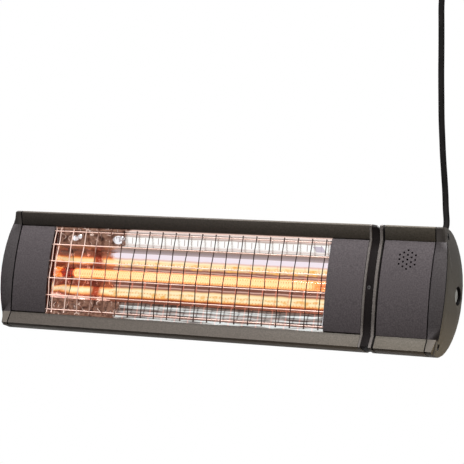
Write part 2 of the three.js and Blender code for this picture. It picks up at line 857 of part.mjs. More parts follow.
function terminalBlock() {
  const back = boardDepth - fit;
  const front = back - blockHeight;
  const x = moduleX + blockStart;
  const body = box(x, x + blockLength, front, back, blockZ - blockWidth / 2, blockZ + blockWidth / 2);
  const port = (k) => barY(portRadius, front - 1, front + portDepth, x + portPitch * (k + 0.5), blockZ, 10);
  return carve(body, [], [port(0), port(1), port(2)]);
}

// Insulated leads from the lamp's bases to the terminal block.
function lampLeads() {
  const rightBase = tubeEnd() + baseLength + fit;
  const leftBase = tubeStart() - baseLength - fit;
  const blockFront = boardDepth - fit - blockHeight - fit;
  const portX = (k) => moduleX + blockStart + portPitch * (k + 0.5);
  const port = (k, before) => V3(portX(k), blockFront - before * leadBend, blockZ);
  const hole = (x, sign) => V3(x, wireHoleDepth - sign * leadRadius, wireHoleZ + sign * leadSplit);
  const right = [
    V3(rightBase, lampDepth, 0),
    V3(rightBase + leadBend, lampDepth, 0),
    hole(mainLength - leadBend, 1),
    hole(moduleX, 1),
    port(0, 1).add(V3(-0.8 * leadBend, 0, 1.6 * leadBend)),
    port(0, 0.7),
    port(0, 0),
  ];
  const left = [
    V3(leftBase, lampDepth, 0),
    V3(leftBase - leadBend, lampDepth, -0.2 * leadBend),
    V3(leftBase - 0.8 * leadBend, lampDepth + 0.8 * leadBend, 0.6 * gutterZ),
    V3(leftBase + 2 * leadBend, gutterDepth, gutterZ),
    V3(mainLength - 8 * leadBend, gutterDepth, gutterZ),
    hole(mainLength - 2.8 * leadBend, -1).add(V3(0, 0, -2 * leadBend)),
    hole(mainLength, -1),
    hole(moduleX, -1),
    V3(moduleX + 3 * leadBend, blockFront - 0.2 * leadBend, wireHoleZ - 1.8 * leadBend),
    port(1, 1.4).add(V3(-0.8 * leadBend, 0, 0.8 * leadBend)),
    port(1, 0.8),
    port(1, 0),
  ];
  return [tube(left, leadRadius, 5, 26), tube(right, leadRadius, 5, 16)];
}

// ---------------------------------------------------------------- end caps

// How far the crowned face of a cap falls back at a height.
const bow = (z) => crownRadius - Math.sqrt(crownRadius ** 2 - z * z);

// A crowned cap: the section swept out to a face that bows in z, its back edge rounded.
// The first rings are drawn in by a foot, which leaves a groove along the seam.
function crown(inset, reach, foot, rounds, shares) {
  const outline = capOutline(inset);
  const centre = V2(bodyDepth * 0.45, 0);
  const flat = (points, x) => points.map((point) => V3(x, point.x, point.y));
  const rings = [flat(capOutline(inset + foot), 0)];
  if (foot > 0) {
    rings.push(flat(capOutline(inset + foot), seamWidth), flat(outline, seamWidth));
  }
  const softness = (point) => Math.min(Math.max((point.x - roundStart) / roundGrowth, 0), 1);
  for (let k = 0; k <= rounds; k += 1) {
    const angle = (Math.PI / 2) * (k / rounds);
    rings.push(
      outline.map((point) => {
        const soft = capRound * softness(point);
        const inward = centre.clone().sub(point).normalize().multiplyScalar(soft * (1 - Math.cos(angle)));
        const place = point.clone().add(inward);
        return V3(reach - bow(point.y) - soft * (1 - Math.sin(angle)), place.x, place.y);
      }),
    );
  }
  const outer = rings.at(-1);
  for (const share of shares) {
    rings.push(
      outer.map((point) => {
        const z = point.z * share;
        return V3(reach - bow(z), centre.x + (point.y - centre.x) * share, z);
      }),
    );
  }
  return closedRings(rings, V3(0, centre.x, 0), V3(reach, centre.x, 0));
}

// Skins a stack of rings with equal counts and closes both ends on a middle point.
function closedRings(rings, startPoint, endPoint) {
  const count = rings[0].length;
  const positions = rings.flat().flatMap((point) => [point.x, point.y, point.z]);
  positions.push(startPoint.x, startPoint.y, startPoint.z, endPoint.x, endPoint.y, endPoint.z);
  const first = rings.length * count;
  const index = [];
  for (let k = 0; k < count; k += 1) {
    const next = (k + 1) % count;
    for (let r = 0; r < rings.length - 1; r += 1) {
      const [a, b] = [r * count + k, r * count + next];
      index.push(a, b + count, b, a, a + count, b + count);
    }
    const top = (rings.length - 1) * count;
    index.push(first, k, next, first + 1, top + next, top + k);
  }
  const geometry = new THREE.BufferGeometry();
  geometry.setAttribute("position", new THREE.Float32BufferAttribute(positions, 3));
  geometry.setIndex(index);
  return geometry;
}

// Where the crowned face lies at a height, out from the seam.
const crownAt = (z) => capLength - fit - bow(z);

// What is cut away so that the strips of a cap end a step short of its middle.
function brows() {
  const heights = [plateHalf, bossZ, edgeHeight, bodyHeight];
  const outside = capLength + 1;
  return [1, -1].map((sign) => {
    const edge = heights.map((z) => V2(crownAt(z) - browStep, sign * z));
    edge[edge.length - 1].y += sign;
    return prism([...edge, V2(outside, edge.at(-1).y), V2(outside, edge[0].y)], -1, browDepth);
  });
}

// A hollow cap with bosses for its two screws, drawn for the right end.
function capShell() {
  const reach = capLength - fit;
  const postRadius = bossRadius + capPostWall;
  const seat = crownAt(bossZ) - headSeat;
  const cavity = crown(capWall, reach - capWall, 0, 1, [0.5]).translate(-1, 0, 0);
  const posts = [1, -1].map((sign) => barX(postRadius, 0, crownAt(bossZ) - 1, bossDepth, sign * bossZ, 14));
  const cuts = [
    ...screwHoles(-1, capLength + 2, capScrewRadius + fit),
    ...screwHoles(seat, capLength + 2, capScrewHead + fit),
    ...brows(),
  ];
  const shell = carve(crown(0, reach, seamDepth, 2, [0.66, 0.33]), [], [cavity]);
  return carve(shell, posts, cuts);
}

// The mirror image of a piece of the right end, placed at the left end.
function mirroredLeft(geometry) {
  geometry.scale(-1, 1, 1);
  const index = geometry.index.array;
  for (let i = 0; i < index.length; i += 3) {
    [index[i + 1], index[i + 2]] = [index[i + 2], index[i + 1]];
  }
  geometry.translate(-fit, 0, 0);
  return geometry;
}

const leftEndCap = () => mirroredLeft(capShell());

// The right cap has a round recess for the button, with a floor that its stem passes through.
function rightEndCap() {
  const floor = crownAt(0) - recessDepth;
  const cup = barX(recessRadius + recessWall, floor - recessWall, crownAt(0) - 1, buttonDepth, buttonZ, 24);
  const recess = barX(recessRadius, floor, capLength + 2, buttonDepth, buttonZ, 24);
  const stemHole = barX(stemRadius + fit, -2, floor + 1, buttonDepth, buttonZ, 14);
  return carve(capShell(), [cup], [recess, stemHole]).translate(rightCapX, 0, 0);
}

// Countersunk into the crowned faces, one at the top and one at the bottom of each cap.
function capScrews(sign) {
  const seat = crownAt(bossZ) - headSeat + fit;
  return [1, -1].map((side) => {
    const shank = barX(capScrewRadius, seat - capScrewLength, seat + 0.5, bossDepth, side * bossZ, 12);
    const head = barX(capScrewHead, seat, seat + capScrewHeadHeight, bossDepth, side * bossZ, 16);
    const socket = barX(capScrewSocket, seat + capScrewHeadHeight / 2, seat + 3, bossDepth, side * bossZ, 6);
    const screw = carve(shank, [head], [socket]);
    return sign > 0 ? screw.translate(rightCapX, 0, 0) : mirroredLeft(screw);
  });
}

// ---------------------------------------------------------------- push button

function pushButton() {
  const floor = rightCapX + crownAt(0) - recessDepth;
  const back = floor + buttonTravel + fit;
  const profile = [
    [0, -switchReach],
    [stemRadius, -switchReach],
    [stemRadius, 0],
    [buttonRadius, 0],
    [buttonRadius, buttonThickness - 1],
    [buttonRadius - 0.8, buttonThickness - 0.2],
    [buttonRadius - 2.4, buttonThickness],
    [0, buttonThickness - 0.5],
  ];
  const geometry = turned(profile, 24);
  geometry.rotateY(Math.PI / 2);
  geometry.translate(back, buttonDepth, buttonZ);
  return geometry;
}

// Sealed switch behind the recess, with a well that takes the stem.
function switchBody() {
  const front = rightCapX + crownAt(0) - recessDepth - recessWall - fit;
  const half = switchSize / 2;
  const [y0, y1] = [buttonDepth - half, buttonDepth + half];
  const body = box(front - switchLength, front, y0, y1, buttonZ - half, buttonZ + half);
  const well = barX(stemRadius + fit, front - switchWell, front + 1, buttonDepth, buttonZ, 14);
  return carve(body, [], [well]);
}

// ---------------------------------------------------------------- gland, lead and plug

// A bar along the gland's tilted axis, between two distances from where it meets the back.
function glandShape(radius, from, to) {
  const geometry = new THREE.CylinderGeometry(radius, radius, to - from, 20);
  geometry.translate(0, (from + to) / 2, 0);
  return placeOnGland(geometry);
}

function placeOnGland(geometry) {
  geometry.rotateX(Math.PI / 2 - THREE.MathUtils.degToRad(glandTilt));
  geometry.translate(moduleX + glandX, glandDepth, glandZ);
  return geometry;
}

// A nut with flats on the housing, a ribbed tapered sleeve and a threaded end inside.
function cableGland() {
  const profile = [
    [cordRadius + fit, -glandThread],
    [glandThreadRadius, -glandThread],
    [glandThreadRadius, fit],
    [glandNutRadius, fit],
    [glandNutRadius, glandNutHeight],
    [7.2, glandNutHeight + 1.5],
    [6.4, glandLength - 9],
    [7, glandLength - 8.4],
    [6.2, glandLength - 5],
    [6.6, glandLength - 4.4],
    [5.2, glandLength],
    [cordRadius + fit, glandLength],
    [cordRadius + fit, -glandThread],
  ];
  const geometry = turned(profile, 16);
  geometry.rotateX(-Math.PI / 2);
  return placeOnGland(geometry);
}

// The lead's route, in the heater's frame: out of the gland, up behind the module and on to the plug.
const cordRoute = () =>
  [
    [519.0, 65.5, 78.9],
    [518.6, 69.3, 83.6],
    [517.2, 72.6, 90.0],
    [515.2, 75.0, 98.0],
    [513.2, 76.8, 107.8],
    [511.4, 77.7, 119.9],
    [509.6, 78.0, 131.3],
    [507.8, 78.0, 142.5],
    [504.2, 78.0, 164.8],
    [501.1, 78.0, 187.1],
    [498.1, 78.0, 209.5],
    [495.4, 78.0, 235.0],
    [492.6, 78.0, 262.0],
    [490.2, 78.0, 289.0],
    [487.6, 78.0, 317.0],
    [485.2, 78.0, 341.0],
    [484.6, 78.0, 351.0],
    [484.5, 78.0, 356.0],
  ].map((place) => V3(...place));

function mainsCord() {
  const tilt = THREE.MathUtils.degToRad(glandTilt);
  const out = V3(0, Math.sin(tilt), Math.cos(tilt)).multiplyScalar(glandLength + fit);
  const start = V3(moduleX + glandX, glandDepth, glandZ).add(out);
  return tube([start, ...cordRoute()], cordRadius, 8, 26);
}

// Angled plug: a round body with its pins to the wall and a tapered neck over the lead.
function plugBody() {
  const end = cordRoute().at(-1);
  const neck = turned(
    [
      [0, 0],
      [cordRadius + neckTip, 0],
      [cordRadius + neckTip * 1.4, neckLength * 0.5],
      [cordRadius + neckRoot, neckLength],
      [cordRadius + neckRoot, neckLength + plugRadius / 2],
      [0, neckLength + plugRadius / 2],
    ],
    16,
  );
  neck.translate(end.x, end.y, end.z + fit);
  const half = plugThickness / 2;
  const disc = turned(
    [
      [0, -half],
      [plugRadius - plugRim, -half],
      [plugRadius, -half + plugRim],
      [plugRadius, half - plugRim / 2],
      [plugRadius - plugRim / 2, half],
      [0, half],
    ],
    26,
  );
  disc.rotateX(-Math.PI / 2);
  disc.translate(end.x, end.y, plugMiddle());
  const face = end.y + half;
  const holes = pinPlaces().map(([x, z]) => barY(pinRadius + fit, face - pinSocket, face + 1, x, z, 14));
  return carve(neck, [disc], holes);
}

const plugMiddle = () => cordRoute().at(-1).z + fit + neckLength + plugRadius - 1;

const pinPlaces = () => [-1, 1].map((sign) => [cordRoute().at(-1).x + (sign * pinPitch) / 2, plugMiddle()]);

function plugPins() {
  const face = cordRoute().at(-1).y + plugThickness / 2;
  return pinPlaces().map(([x, z]) => barY(pinRadius, face - pinSocket + fit, face + pinLength, x, z, 14));
}

// ---------------------------------------------------------------- bracket

// An ear seen along x: straight from its root, with a round end about the pivot.
function earOutline(root, pivot, rootHalf) {
  const ahead = Math.sign(pivot - root);
  const points = [V2(root, -rootHalf), V2(root, rootHalf)];
  const steps = 10;
  for (let i = 0; i <= steps; i += 1) {
    const angle = Math.PI / 2 - (Math.PI * i) / steps;
    points.push(V2(pivot + ahead * earRadius * Math.cos(angle), earRadius * Math.sin(angle)));
  }
  return points;
}

const heaterBase = () => bodyDepth + fit;
const pivotDepth = () => bodyDepth + pivotFromBack;
// Inner face of the ears of the heater's bracket, which lie inside the wall plate's.
const bracketEarX = () => wallPlateWidth / 2 - plateSteel - fit - plateSteel;

// Channel bracket screwed to the slot in the heater's back.
function heaterBracket() {
  const inner = bracketEarX();
  const base = box(
    heaterMiddle - inner - plateSteel,
    heaterMiddle + inner + plateSteel,
    heaterBase(),
    heaterBase() + plateSteel,
    -bracketHalf,
    bracketHalf,
  );
  const ear = earOutline(heaterBase(), pivotDepth(), bracketHalf);
  const hole = () => [circleHole(pivotDepth(), 0, boltRadius + fit)];
  const ears = [
    sweep(ear, heaterMiddle - inner - plateSteel, plateSteel, hole()),
    sweep(ear, heaterMiddle + inner, plateSteel, hole()),
  ];
  const cuts = [-1, 1].map((sign) =>
    barY(screwRadius + fit, heaterBase() - 1, pivotDepth(), heaterMiddle + sign * slotNutX, 0, 14),
  );
  return carve(base, ears, cuts);
}

function slotNuts() {
  return [-1, 1].map((sign) => {
    const x = heaterMiddle + sign * slotNutX;
    const half = slotWidth / 2 - fit;
    const [x0, x1] = [x - slotNutLength / 2, x + slotNutLength / 2];
    const nut = box(x0, x1, slotFloor + fit, slotRoof - fit, -half, half);
    return carve(nut, [], [barY(screwRadius + fit, slotFloor - 1, slotRoof + 1, x, 0, 14)]);
  });
}

function bracketScrews() {
  const seat = heaterBase() + plateSteel + fit;
  return [-1, 1].map((sign) => {
    const x = heaterMiddle + sign * slotNutX;
    const shank = barY(screwRadius, slotFloor + fit, seat + 0.5, x, 0, 14);
    const head = barY(screwHead, seat, seat + screwHeadHeight, x, 0, 18);
    const socket = barY(screwSocket, seat + screwHeadHeight / 2, seat + screwHeadHeight + 1, x, 0, 6);
    return carve(shank, [head], [socket]);
  });
}

// A slot through the wall plate, lying along x.
function plateSlot(x, z) {
  const reach = wallSlotLength / 2 - wallSlotRadius;
  const middle = box(x - reach, x + reach, -plateSteel - 1, 1, z - wallSlotRadius, z + wallSlotRadius);
  const ends = [-1, 1].map((sign) => barY(wallSlotRadius, -plateSteel - 1, 1, x + sign * reach, z, 10));
  return carve(middle, ends, []);
}

// Wall plate: a flat foot with four slots and two ears bent forward to the pivot.
function wallPlate() {
  const [halfWidth, halfHeight] = [wallPlateWidth / 2, wallPlateHeight / 2];
  const foot = box(-halfWidth, halfWidth, -plateSteel, 0, -halfHeight, halfHeight);
  const ear = earOutline(-plateSteel / 2, -pivotFromWall, bracketHalf + wallEarSpread);
  const hole = () => [circleHole(-pivotFromWall, 0, boltRadius + fit)];
  const ears = [
    sweep(ear, -halfWidth, plateSteel, hole()),
    sweep(ear, halfWidth - plateSteel, plateSteel, hole()),
  ];
  const slots = [];
  for (const x of [-wallSlotX, wallSlotX]) {
    for (const z of [-wallSlotZ, wallSlotZ]) {
      slots.push(plateSlot(x, z));
    }
  }
  return carve(foot, ears, slots);
}

const earOuter = () => wallPlateWidth / 2 + fit;
const washerOuter = () => earOuter() + washerThickness + fit;

function pivotBolts() {
  const tip = bracketEarX() - fit - washerThickness - fit - nutThickness - boltEnd;
  return [-1, 1].map((sign) => {
    const [low, high] = [sign * tip, sign * (washerOuter() + 0.5)].sort((a, b) => a - b);
    const shank = barX(boltRadius, low, high, -pivotFromWall, 0, 16);
    const start = sign > 0 ? washerOuter() : -washerOuter() - boltHeadHeight;
    return carve(shank, [barX(boltHead, start, start + boltHeadHeight, -pivotFromWall, 0, 6)], []);
  });
}

function washer(x0, radius, thickness, sides) {
  const body = barX(radius, x0, x0 + thickness, -pivotFromWall, 0, sides);
  return carve(body, [], [barX(boltRadius + fit, x0 - 1, x0 + thickness + 1, -pivotFromWall, 0, 16)]);
}

function pivotWashers() {
  const inside = bracketEarX() - fit;
  const places = [-earOuter() - washerThickness, -inside, inside - washerThickness, earOuter()];
  return places.map((x) => washer(x, washerRadius, washerThickness, 18));
}

function pivotNuts() {
  const inside = bracketEarX() - fit - washerThickness - fit;
  return [-inside, inside - nutThickness].map((x) => washer(x, nutRadius, nutThickness, 6));
}

// ---------------------------------------------------------------- assembly

function piece(name, geometry, material) {
  const mesh = new THREE.Mesh(geometry, material);
  mesh.name = name;
  return mesh;
}

// One named mesh for each copy of a repeated piece.
const pieces = (name, ends, geometries, material) =>
  geometries.map((geometry, i) => piece(`${name}_${ends[i]}`, geometry, material()));

const heater = new THREE.Group();
heater.position.set(-heaterMiddle, frontY, 0);
heater.add(
  piece("main_housing", mainHousing(), anthracite()),
  piece("left_end_cap", leftEndCap(), anthracite()),
  ...pieces("left_cap_screw", ["top", "bottom"], capScrews(-1), steel),
  piece("left_front_plate", frontPlate(fit, leftPlateEnd - fit, plateShadow), anthracite()),
  piece("right_front_plate", frontPlate(rightPlateStart, rightPlateLength - fit, plateShadow), anthracite()),
  piece("reflector_trough", reflectorTrough(), polished()),
  piece("reflector_left_end", reflectorEnd(leftEndX), polished()),
  piece("reflector_right_end", reflectorEnd(rightEndX - sheet), polished()),
  ...pieces("reflector_rivet", ["outer", "inner"], reflectorRivets(), polished),
  piece("lamp_tube", lampTube(), paint(0xffd9a0, 0.05, 0)),
  piece("lamp_filament", filament(), paint(0xff9a3c, 0.6, 0)),
  piece("lamp_left_base", lampBase(-1), ceramic()),
  piece("lamp_right_base", lampBase(1), ceramic()),
  piece("lamp_left_holder", lampHolder(-1), steel()),
  piece("lamp_right_holder", lampHolder(1), steel()),
  piece("wire_guard", wireGuard(), wireSteel()),
  piece("main_right_cap", endPlate(rimX, rimThickness, 0), anthracite()),
  piece("joint_spacer", jointSpacer(), blackPlastic()),
  piece("spacer_screw", spacerScrew(), steel()),
  ...pieces("joint_screw", ["top", "bottom"], jointScrews(), steel),
  piece("module_left_cap", endPlate(moduleCapX, moduleCapThickness, 0), anthracite()),
  piece("module_seal", moduleSeal(), paint(0x141212, 0.8, 0)),
  piece("module_housing", moduleHousing(), anthracite()),
  piece("module_front_plate", modulePlate(), anthracite()),
  piece("sounder", sounder(), blackPlastic()),
  piece("control_board", controlBoard(), paint(0x2f5d3a, 0.5, 0)),
  piece("relay", relay(), paint(0x2b4f86, 0.4, 0)),
  piece("terminal_block", terminalBlock(), paint(0x3f7f52, 0.5, 0)),
  ...pieces("lamp_lead", ["left", "right"], lampLeads(), ceramic),
  piece("right_end_cap", rightEndCap(), paint(0x615e53, 0.55, 0.3)),
  ...pieces("right_cap_screw", ["top", "bottom"], capScrews(1), steel),
  piece("push_button", pushButton(), paint(0xa3a3a0, 0.35, 0.2)),
  piece("switch_body", switchBody(), blackPlastic()),
  piece("cable_gland", cableGland(), blackPlastic()),
  piece("mains_cord", mainsCord(), paint(0x171517, 0.6, 0)),
  piece("plug_body", plugBody(), paint(0x171517, 0.5, 0)),
  ...pieces("plug_pin", ["left", "right"], plugPins(), steel),
  piece("heater_bracket", heaterBracket(), anthracite()),
  ...pieces("slot_nut", ["left", "right"], slotNuts(), steel),
  ...pieces("bracket_screw", ["left", "right"], bracketScrews(), steel),
);

const washerPlaces = ["left_outer", "left_inner", "right_inner", "right_outer"];
const wallSide = new THREE.Group();
wallSide.add(
  piece("wall_plate", wallPlate(), anthracite()),
  ...pieces("pivot_bolt", ["left", "right"], pivotBolts(), steel),
  ...pieces("pivot_washer", washerPlaces, pivotWashers(), steel),
  ...pieces("pivot_nut", ["left", "right"], pivotNuts(), steel),
);

const barHeater = new THREE.Group();
barHeater.add(heater, wallSide);

export default barHeater;
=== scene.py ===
"""Infrared bar heater for a patio wall: its looks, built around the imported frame.

Everything is in metres in the frame's own axes: +X along the heater, +Y into the wall, +Z up.
Sizes in the heater's own frame are in millimetres: x from the left seam of the main
extrusion, d the depth behind the two front edges, z from mid-height.
"""

import contextlib
import json
import math

import bmesh
import bpy
from mathutils import Matrix, Vector


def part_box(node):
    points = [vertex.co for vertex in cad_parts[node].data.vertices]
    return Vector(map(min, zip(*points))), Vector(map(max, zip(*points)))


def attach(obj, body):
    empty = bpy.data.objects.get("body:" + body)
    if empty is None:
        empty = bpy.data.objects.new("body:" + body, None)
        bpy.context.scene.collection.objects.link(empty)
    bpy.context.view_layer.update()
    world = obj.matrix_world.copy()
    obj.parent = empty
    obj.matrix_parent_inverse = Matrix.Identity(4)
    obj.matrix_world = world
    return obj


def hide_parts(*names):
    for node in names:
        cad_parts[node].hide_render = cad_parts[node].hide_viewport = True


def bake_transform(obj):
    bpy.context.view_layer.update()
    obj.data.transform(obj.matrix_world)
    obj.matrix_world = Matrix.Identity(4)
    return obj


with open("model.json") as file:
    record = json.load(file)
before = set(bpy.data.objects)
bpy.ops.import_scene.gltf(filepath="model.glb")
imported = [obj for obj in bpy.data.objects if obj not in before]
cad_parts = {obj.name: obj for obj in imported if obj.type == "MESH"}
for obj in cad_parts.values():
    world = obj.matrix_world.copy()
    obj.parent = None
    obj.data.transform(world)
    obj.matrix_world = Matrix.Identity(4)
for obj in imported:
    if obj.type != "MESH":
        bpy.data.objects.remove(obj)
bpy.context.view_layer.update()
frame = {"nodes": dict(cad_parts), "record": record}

SLOTS = {row["node"]: row["material_slot"] for row in frame["record"]["subparts"]}
BODIES = {
    node: body for body, nodes in frame["record"]["behaviour"]["bodies"].items() for node in nodes
}

bl_info = {
    "name": "Bar heater",
    "version": (1, 0, 0),
    "blender": (4, 5, 0),
    "location": "View3D > Sidebar > Bar heater",
    "description": "Makes the pieces and finishes of an infrared bar heater",
    "category": "Object",
}

# ------------------------------------------------------------------ driving sizes, in mm

HEATER_LEFT = -264.25  # the heater frame's x = 0 in the row frame
FRONT_EDGES = -121.6  # the plane of the two front edges

PLATE_HALF = 53.8  # half height of the arched face
STRIP_DEPTH = 5.8
ARCH_RADIUS = (PLATE_HALF**2 + STRIP_DEPTH**2) / (2 * STRIP_DEPTH)
WINDOW_LEFT = 46.6
WINDOW_RIGHT = 407.4

FLANGE_HALF = 51.5
FLANGE_DEPTH = 9.47
MOUTH_HALF = 33
MOUTH_DEPTH = 11.5
TROUGH_RADIUS = 70
TROUGH_HALF = 31
TROUGH_DEPTH = 55.7
TROUGH_START = 50.1
TROUGH_END = 403.9
SHEET = 0.8

LAMP_DEPTH = 22
COIL_START = 67.3
COIL_END = 386.7
COLD_MIDDLE = 64.6  # the dull stretch of the tube beside its left end
COLD_HALF = 7.4
UPRIGHT_PITCH = 17.28
UPRIGHT_PHASE = 700.0  # brings the painted reflections of the uprights into step with the real ones
RIVET_HEIGHT = 40.5
RIVET_BLOTS = ((73.5, 5.0), (132.5, 7.5))  # where a painted blot of light lies beside a rivet's dome: x and radius
RETURN_HALF = 49.4  # half height of the folded edge at the trough's left end

CORD_ROUTE = [
    (519.0, 65.5, 78.9), (518.6, 69.3, 83.6), (517.2, 72.6, 90.0), (515.2, 75.0, 98.0),
    (513.2, 76.8, 107.8), (511.4, 77.7, 119.9), (509.6, 78.0, 131.3), (507.8, 78.0, 142.5),
    (504.2, 78.0, 164.8), (501.1, 78.0, 187.1), (498.1, 78.0, 209.5), (495.4, 78.0, 235.0),
    (492.6, 78.0, 262.0), (490.2, 78.0, 289.0), (487.6, 78.0, 317.0), (485.2, 78.0, 341.0),
    (484.6, 78.0, 351.0), (484.5, 78.0, 356.0),
]
GLAND = Vector((519.1, 47.2, 60.6))
GLAND_REACH = 22.3  # from the gland's foot to where the cord leaves it
GLAND_TILT = math.radians(45)

# the end caps, from the middle of the heater
CAP_FOOT = 264.55
CROWN_TOP = 282.75
CROWN_RADIUS = 308.3
SEAM_WIDTH = 1.1
CAP_SCREW = (13.0, 61.0, 3.75)  # depth, height and radius of a screw's seat
BUTTON_RECESS = (47.0, 0.8, 10.75)
SOUND_REACH = 13.5  # radius that holds every sound hole

# how much of a normal points to the front, on an arched face and on a flat one
ARCHED_FACE = -0.9
FLAT_FACE = -0.97

CAMERA_PLACE = Vector((0.85099, -1.88274, -0.23813))
CAMERA_AHEAD = Vector((-0.42153394, 0.8945672, 0.14852157))
CAMERA_UP = Vector((-0.03816089, -0.18113873, 0.9827169))
CAMERA_LENS = 132.63
HEATER_MIDDLE = Vector((0.0, -0.09, 0.0))
FLOOR_HALF, FLOOR_HEIGHT = 4.0, -0.75


def place(x, d, z):
    """A point of the heater frame, in millimetres, as a point of the row frame in metres."""
    return Vector((x + HEATER_LEFT, d + FRONT_EDGES, z)) / 1000


def arch_depth(z, offset=0.0):
    """Depth of the arched face at a height, set back by an offset."""
    return ARCH_RADIUS - math.sqrt((ARCH_RADIUS - offset) ** 2 - z * z)


# ------------------------------------------------------------------ mesh helpers


def new_object(name, mesh):
    made = bpy.data.objects.new(name, mesh)
    bpy.context.scene.collection.objects.link(made)
    return made


def mesh_from(name, vertices, faces):
    mesh = bpy.data.meshes.new(name)
    mesh.from_pydata([tuple(v) for v in vertices], [], faces)
    mesh.validate()
    return new_object(name, mesh)


def smooth(piece, angle=32):
    """Smooth shading, kept sharp where two faces meet at more than the angle."""
    piece.data.polygons.foreach_set("use_smooth", [True] * len(piece.data.polygons))
    piece.data.set_sharp_from_angle(angle=math.radians(angle))
    return piece


def set_all(thing, **values):
    """Sets several attributes of a thing and returns it."""
    for key, value in values.items():
        setattr(thing, key, value)
    return thing


@contextlib.contextmanager
def edited(mesh):
    """The mesh opened for editing, and written back at the end."""
    shape = bmesh.new()
    shape.from_mesh(mesh)
    yield shape
    shape.to_mesh(mesh)
    shape.free()


def lofted(name, rings, ends=None):
    """A closed solid through rings of points; ends are the faces that close its first ring."""
    count = len(rings[0])
    last = (len(rings) - 1) * count
    faces = []
    for start in range(0, last, count):
        for i in range(count):
            j = (i + 1) % count
            faces.append((start + i, start + j, start + count + j, start + count + i))
    for face in ends or [tuple(range(count))]:
        faces += [face, tuple(last + k for k in reversed(face))]
    piece = mesh_from(name, [point for ring in rings for point in ring], faces)
    with edited(piece.data) as shape:
        bmesh.ops.remove_doubles(shape, verts=shape.verts, dist=1e-7)
        bmesh.ops.recalc_face_normals(shape, faces=shape.faces)
    return piece


def applied(piece):
    """The piece with its modifiers turned into plain mesh."""
    bpy.context.view_layer.update()
    seen = piece.evaluated_get(bpy.context.evaluated_depsgraph_get())
    mesh = bpy.data.meshes.new_from_object(seen)
    piece.modifiers.clear()
    old, piece.data = piece.data, mesh
    if old.users == 0:
        bpy.data.meshes.remove(old)
    return piece


def rounded(piece, width, segments):
    """Rounds the edges sharper than 35 degrees, width in millimetres."""
    bevel = piece.modifiers.new("rounded edges", "BEVEL")
    set_all(bevel, width=width / 1000, segments=segments, miter_outer="MITER_ARC")
    set_all(bevel, limit_method="ANGLE", angle_limit=math.radians(35))
    return applied(piece)


def put_on(piece, finish, replaces=(), body="heater"):
    """Gives a finished piece its material, its body and the nodes it stands for."""
    piece.data.materials.clear()
    piece.data.materials.append(FINISHES[finish])
    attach(piece, body)
    if replaces:
        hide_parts(*replaces)
    return piece


def dressed(node, finish, edge=0.3, segments=2, smoothing=32):
    """A copy of a CAD node with merged points, rounded edges and even shading, in its place."""
    mesh = frame["nodes"][node].data.copy()
    mesh.name = node + "_dressed"
    piece = new_object(node + "_dressed", mesh)
    with edited(mesh) as shape:
        bmesh.ops.remove_doubles(shape, verts=shape.verts, dist=2e-6)
        flat = math.radians(0.5)
        bmesh.ops.dissolve_limit(shape, angle_limit=flat, verts=shape.verts, edges=shape.edges)
    if edge:
        rounded(piece, edge, segments)
    return put_on(smooth(piece, smoothing), finish, [node], BODIES[node])


def dress_all(*rows):
    """Dresses nodes row by row: their names, their finish, their edges' rounding and its steps."""
    for nodes, *how in rows:
        for node in nodes.split():
            dressed(node, *how)


def arch_shaded(piece):
    """Shades a plate's arched face as a true arc, whatever its holes cut out of it."""
    mesh = piece.data
    normals = [corner.vector.copy() for corner in mesh.corner_normals]
    for face in mesh.polygons:
        if face.normal.y > ARCHED_FACE:
            continue
        for loop in face.loop_indices:
            tilt = mesh.vertices[mesh.loops[loop].vertex_index].co.z * 1000 / ARCH_RADIUS
            normals[loop] = Vector((0, -math.sqrt(1 - tilt * tilt), tilt))
    mesh.normals_split_custom_set(normals)
    return piece


def darkened_holes(plate, finish):
    """The walls and rims of the sound holes lie in shade: they get a dark finish of their own."""
    plate.data.materials.append(FINISHES[finish])
    low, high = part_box("sounder")
    middle = (low + high) / 2
    for face in plate.data.polygons:
        away = math.hypot(face.center.x - middle.x, face.center.z - middle.z)
        if face.normal.y > FLAT_FACE and away < SOUND_REACH / 1000:
            face.material_index = 1


def tube_along(name, points, radius, sides):
    """A closed round tube in metres whose rings don't twist."""
    rings = []
    side = None
    for i, point in enumerate(points):
        ahead = (points[min(i + 1, len(points) - 1)] - points[max(i - 1, 0)]).normalized()
        guess = side or ahead.orthogonal()
        side = (guess - ahead * guess.dot(ahead)).normalized()
        across = ahead.cross(side)
        turns = [2 * math.pi * k / sides for k in range(sides)]
        rings.append([point + radius * (side * math.cos(a) + across * math.sin(a)) for a in turns])
    return smooth(lofted(name, rings), 40)


def catmull_rom(points, per_span):
    """A smooth line through points, with a number of steps on each span."""
    ends = [points[0] * 2 - points[1], *points, points[-1] * 2 - points[-2]]
    line = []
    for a, b, c, d in zip(ends, ends[1:], ends[2:], ends[3:]):
        bend, twist = 2 * a - 5 * b + 4 * c - d, 3 * b - a - 3 * c + d
        for k in range(per_span):
            t = k / per_span
            line.append(0.5 * (2 * b + (c - a) * t + bend * t**2 + twist * t**3))
    return [*line, points[-1]]


# ------------------------------------------------------------------ node helpers


class Value:
    """A number or a colour in a node tree; sums and comparisons with it add Math nodes."""

    def __init__(self, socket):
        self.socket = socket

    def held(self):
        """The same number, kept between 0 and 1."""
        self.socket.node.use_clamp = True
        return self

    def __abs__(self):
        return maths("ABSOLUTE", self)

    def __rsub__(self, other):
        return maths("SUBTRACT", other, self)


def sign_method(operation):
    return lambda self, other: maths(operation, self, other)


for sign, operation in {
    "add": "ADD", "sub": "SUBTRACT", "mul": "MULTIPLY", "truediv": "DIVIDE",
    "pow": "POWER", "gt": "GREATER_THAN", "lt": "LESS_THAN", "or": "MAXIMUM",
}.items():
    setattr(Value, f"__{sign}__", sign_method(operation))


